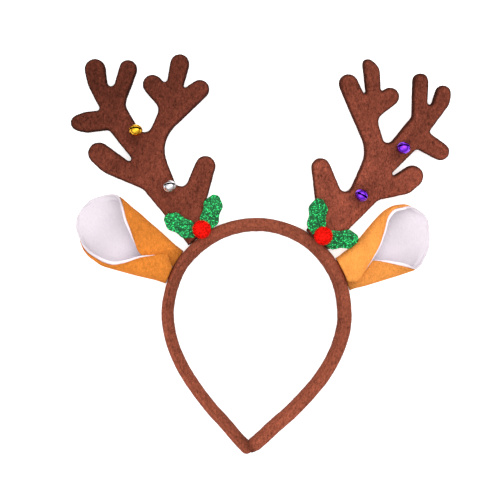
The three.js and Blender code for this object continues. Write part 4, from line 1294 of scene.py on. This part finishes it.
class HEADBAND_OT_bells(bpy.types.Operator):
    """Four jingle bells with their wire loops and loose pellets"""
    bl_idname = "headband.bells"
    bl_label = "Make Bells"

    def execute(self, context):
        given = context.scene.headband_bells
        metals = {
            "gold": polished_material("gold_plate", given.gold, 0.16),
            "silver": polished_material("silver_plate", given.silver, 0.16),
            "purple": polished_material("purple_plate", given.purple, 0.2),
        }
        steel = polished_material("pellet_steel", (0.35, 0.35, 0.36), 0.35)
        outer, inner = bell_surface()
        shell, shell_faces = closed_tube(np.concatenate([outer[::-1], inner]))
        loop, loop_faces = ring_tube(LOOP_RADIUS, LOOP_WIRE)
        bell = np.vstack([shell, loop + (0, 0, -BELL_RADIUS - LOOP_RADIUS * LOOP_WIRE)])
        number = np.arange(len(bell)) - outer[..., 0].size
        # the shell's inside is painted almost black, as shade
        painted_dark_inside = (number >= 0) & (number < inner[..., 0].size)
        ball = PELLET_RADIUS * ball_rings(14, 24, short=0.03) - (0, 0, PELLET_DROP)
        for side in SIDES.values():
            rotation, origin = antler_frame(side)
            for name, (x, along, tip, roll) in side["bells"].items():
                upright = side["sign"] * side["antler"]["lean"]
                own = turn_matrix("z", upright + roll) @ turn_matrix("x", -tip)
                lift = ANTLER_HALF + GAP - (bell @ own.T)[:, 2].min()
                place = np.array([x * ANTLER_LENGTH, along * ANTLER_LENGTH, lift])
                colour = name.split("_")[0]
                points = (bell @ own.T + place) @ rotation.T + origin
                faces = [*shell_faces, loop_faces + len(shell)]
                piece = make_piece(f"jingle_bell_{name}", points, faces, metals[colour])
                set_shade(piece.data, np.where(painted_dark_inside, 0.05, 1))
                settle(piece, [f"bell_{name}"], f"{colour}_metal")
                rings = (ball @ own.T + place) @ rotation.T + origin
                pellet = tube_piece(f"bell_pellet_{name}", rings, steel)
                set_shade(pellet.data, np.ones(len(pellet.data.vertices)))
                settle(pellet, [f"pellet_{name}"], "pellet_metal")
        return {"FINISHED"}


# the stage


def area_light(name, place, size, energy):
    """A square soft light that faces the middle of the headband."""
    data = bpy.data.lights.new(name, "AREA")
    data.shape = "SQUARE"
    data.size = size
    data.energy = energy
    light = bpy.data.objects.new(name, data)
    light.location = place
    light.rotation_mode = "QUATERNION"
    light.rotation_quaternion = (Vector((0, -0.02, 0)) - Vector(place)).to_track_quat("-Z", "Y")
    bpy.context.scene.collection.objects.link(light)


def make_floor(card):
    """A wide square just under the headband."""
    half, low = 4, -0.0002
    mesh = bpy.data.meshes.new("floor")
    corners = [(-half, -half, low), (half, -half, low), (half, half, low), (-half, half, low)]
    mesh.from_pydata(corners, [], [(0, 1, 2, 3)])
    mesh.materials.append(card)
    floor = bpy.data.objects.new("floor", mesh)
    bpy.context.scene.collection.objects.link(floor)
    return floor


def studio_world():
    """Surroundings that are white overhead and dim at the sides, so that metal shows both."""
    world = bpy.data.worlds.new("studio")
    world.use_nodes = True
    sky = world.node_tree
    way = sky.nodes.new("ShaderNodeTexCoord")
    parts = sky.nodes.new("ShaderNodeSeparateXYZ")
    sky.links.new(way.outputs["Generated"], parts.inputs["Vector"])
    strength = spread(sky, parts.outputs["Z"], 0.1, 0.75, 0.2, 0.95)
    sky.nodes["Background"].inputs["Color"].default_value = (1, 1, 1, 1)
    sky.links.new(strength, sky.nodes["Background"].inputs["Strength"])
    return world


def make_camera(height, field):
    """A camera that looks straight down."""
    data = bpy.data.cameras.new("camera")
    data.sensor_fit = "HORIZONTAL"
    data.sensor_width = 36
    data.lens = data.sensor_width / 2 / math.tan(field / 2)
    data.clip_start, data.clip_end = 0.01, 20
    camera = bpy.data.objects.new("camera", data)
    camera.location = (*CAMERA_OVER, height)
    bpy.context.scene.collection.objects.link(camera)
    return camera


class HEADBAND_OT_stage(bpy.types.Operator):
    """Pale floor, soft studio light and the camera straight above"""
    bl_idname = "headband.stage"
    bl_label = "Make Stage"

    def execute(self, context):
        given = context.scene.headband_stage
        scene = context.scene
        make_floor(card_material(given.glow))
        scene.world = studio_world()
        area_light("key", (0.32, 0.34, 1.1), size=1.2, energy=8.5)
        area_light("fill", (-0.5, -0.4, 1.0), size=1.0, energy=3.2)
        scene.camera = make_camera(given.height, given.field)
        scene.view_settings.view_transform = "Standard"
        return {"FINISHED"}


class HEADBAND_PT_panel(bpy.types.Panel):
    """Headband"""
    bl_idname = "HEADBAND_PT_panel"
    bl_label = "Headband"
    bl_space_type = "VIEW_3D"
    bl_region_type = "UI"
    bl_category = "Headband"

    def draw(self, context):
        for operator in OPERATORS:
            self.layout.operator(operator.bl_idname)
        for name in SETTINGS:
            group = getattr(context.scene, name)
            box = self.layout.box()
            for key in group.bl_rna.properties.keys():
                if key not in ("rna_type", "name"):
                    box.prop(group, key)


OPERATORS = (HEADBAND_OT_hoop, HEADBAND_OT_antlers, HEADBAND_OT_ears, HEADBAND_OT_leaves,
             HEADBAND_OT_berries, HEADBAND_OT_bells, HEADBAND_OT_stage)
SETTINGS = {
    "headband_hoop": HoopSettings,
    "headband_antlers": AntlerSettings,
    "headband_ears": EarSettings,
    "headband_sprigs": SprigSettings,
    "headband_bells": BellSettings,
    "headband_stage": StageSettings,
}


def register():
    """Adds the settings, the operators and the panel."""
    for cls in (*SETTINGS.values(), *OPERATORS, HEADBAND_PT_panel):
        bpy.utils.register_class(cls)
    for name, cls in SETTINGS.items():
        setattr(bpy.types.Scene, name, bpy.props.PointerProperty(type=cls))


def unregister():
    """Takes them away again."""
    for name in SETTINGS:
        delattr(bpy.types.Scene, name)
    for cls in (HEADBAND_PT_panel, *reversed(OPERATORS), *reversed(SETTINGS.values())):
        bpy.utils.unregister_class(cls)


def main():
    """Builds every piece in order."""
    register()
    bpy.ops.headband.hoop()
    bpy.ops.headband.antlers()
    bpy.ops.headband.ears()
    bpy.ops.headband.leaves()
    bpy.ops.headband.berries()
    bpy.ops.headband.bells()
    bpy.ops.headband.stage()


if __name__ == "__main__":
    main()
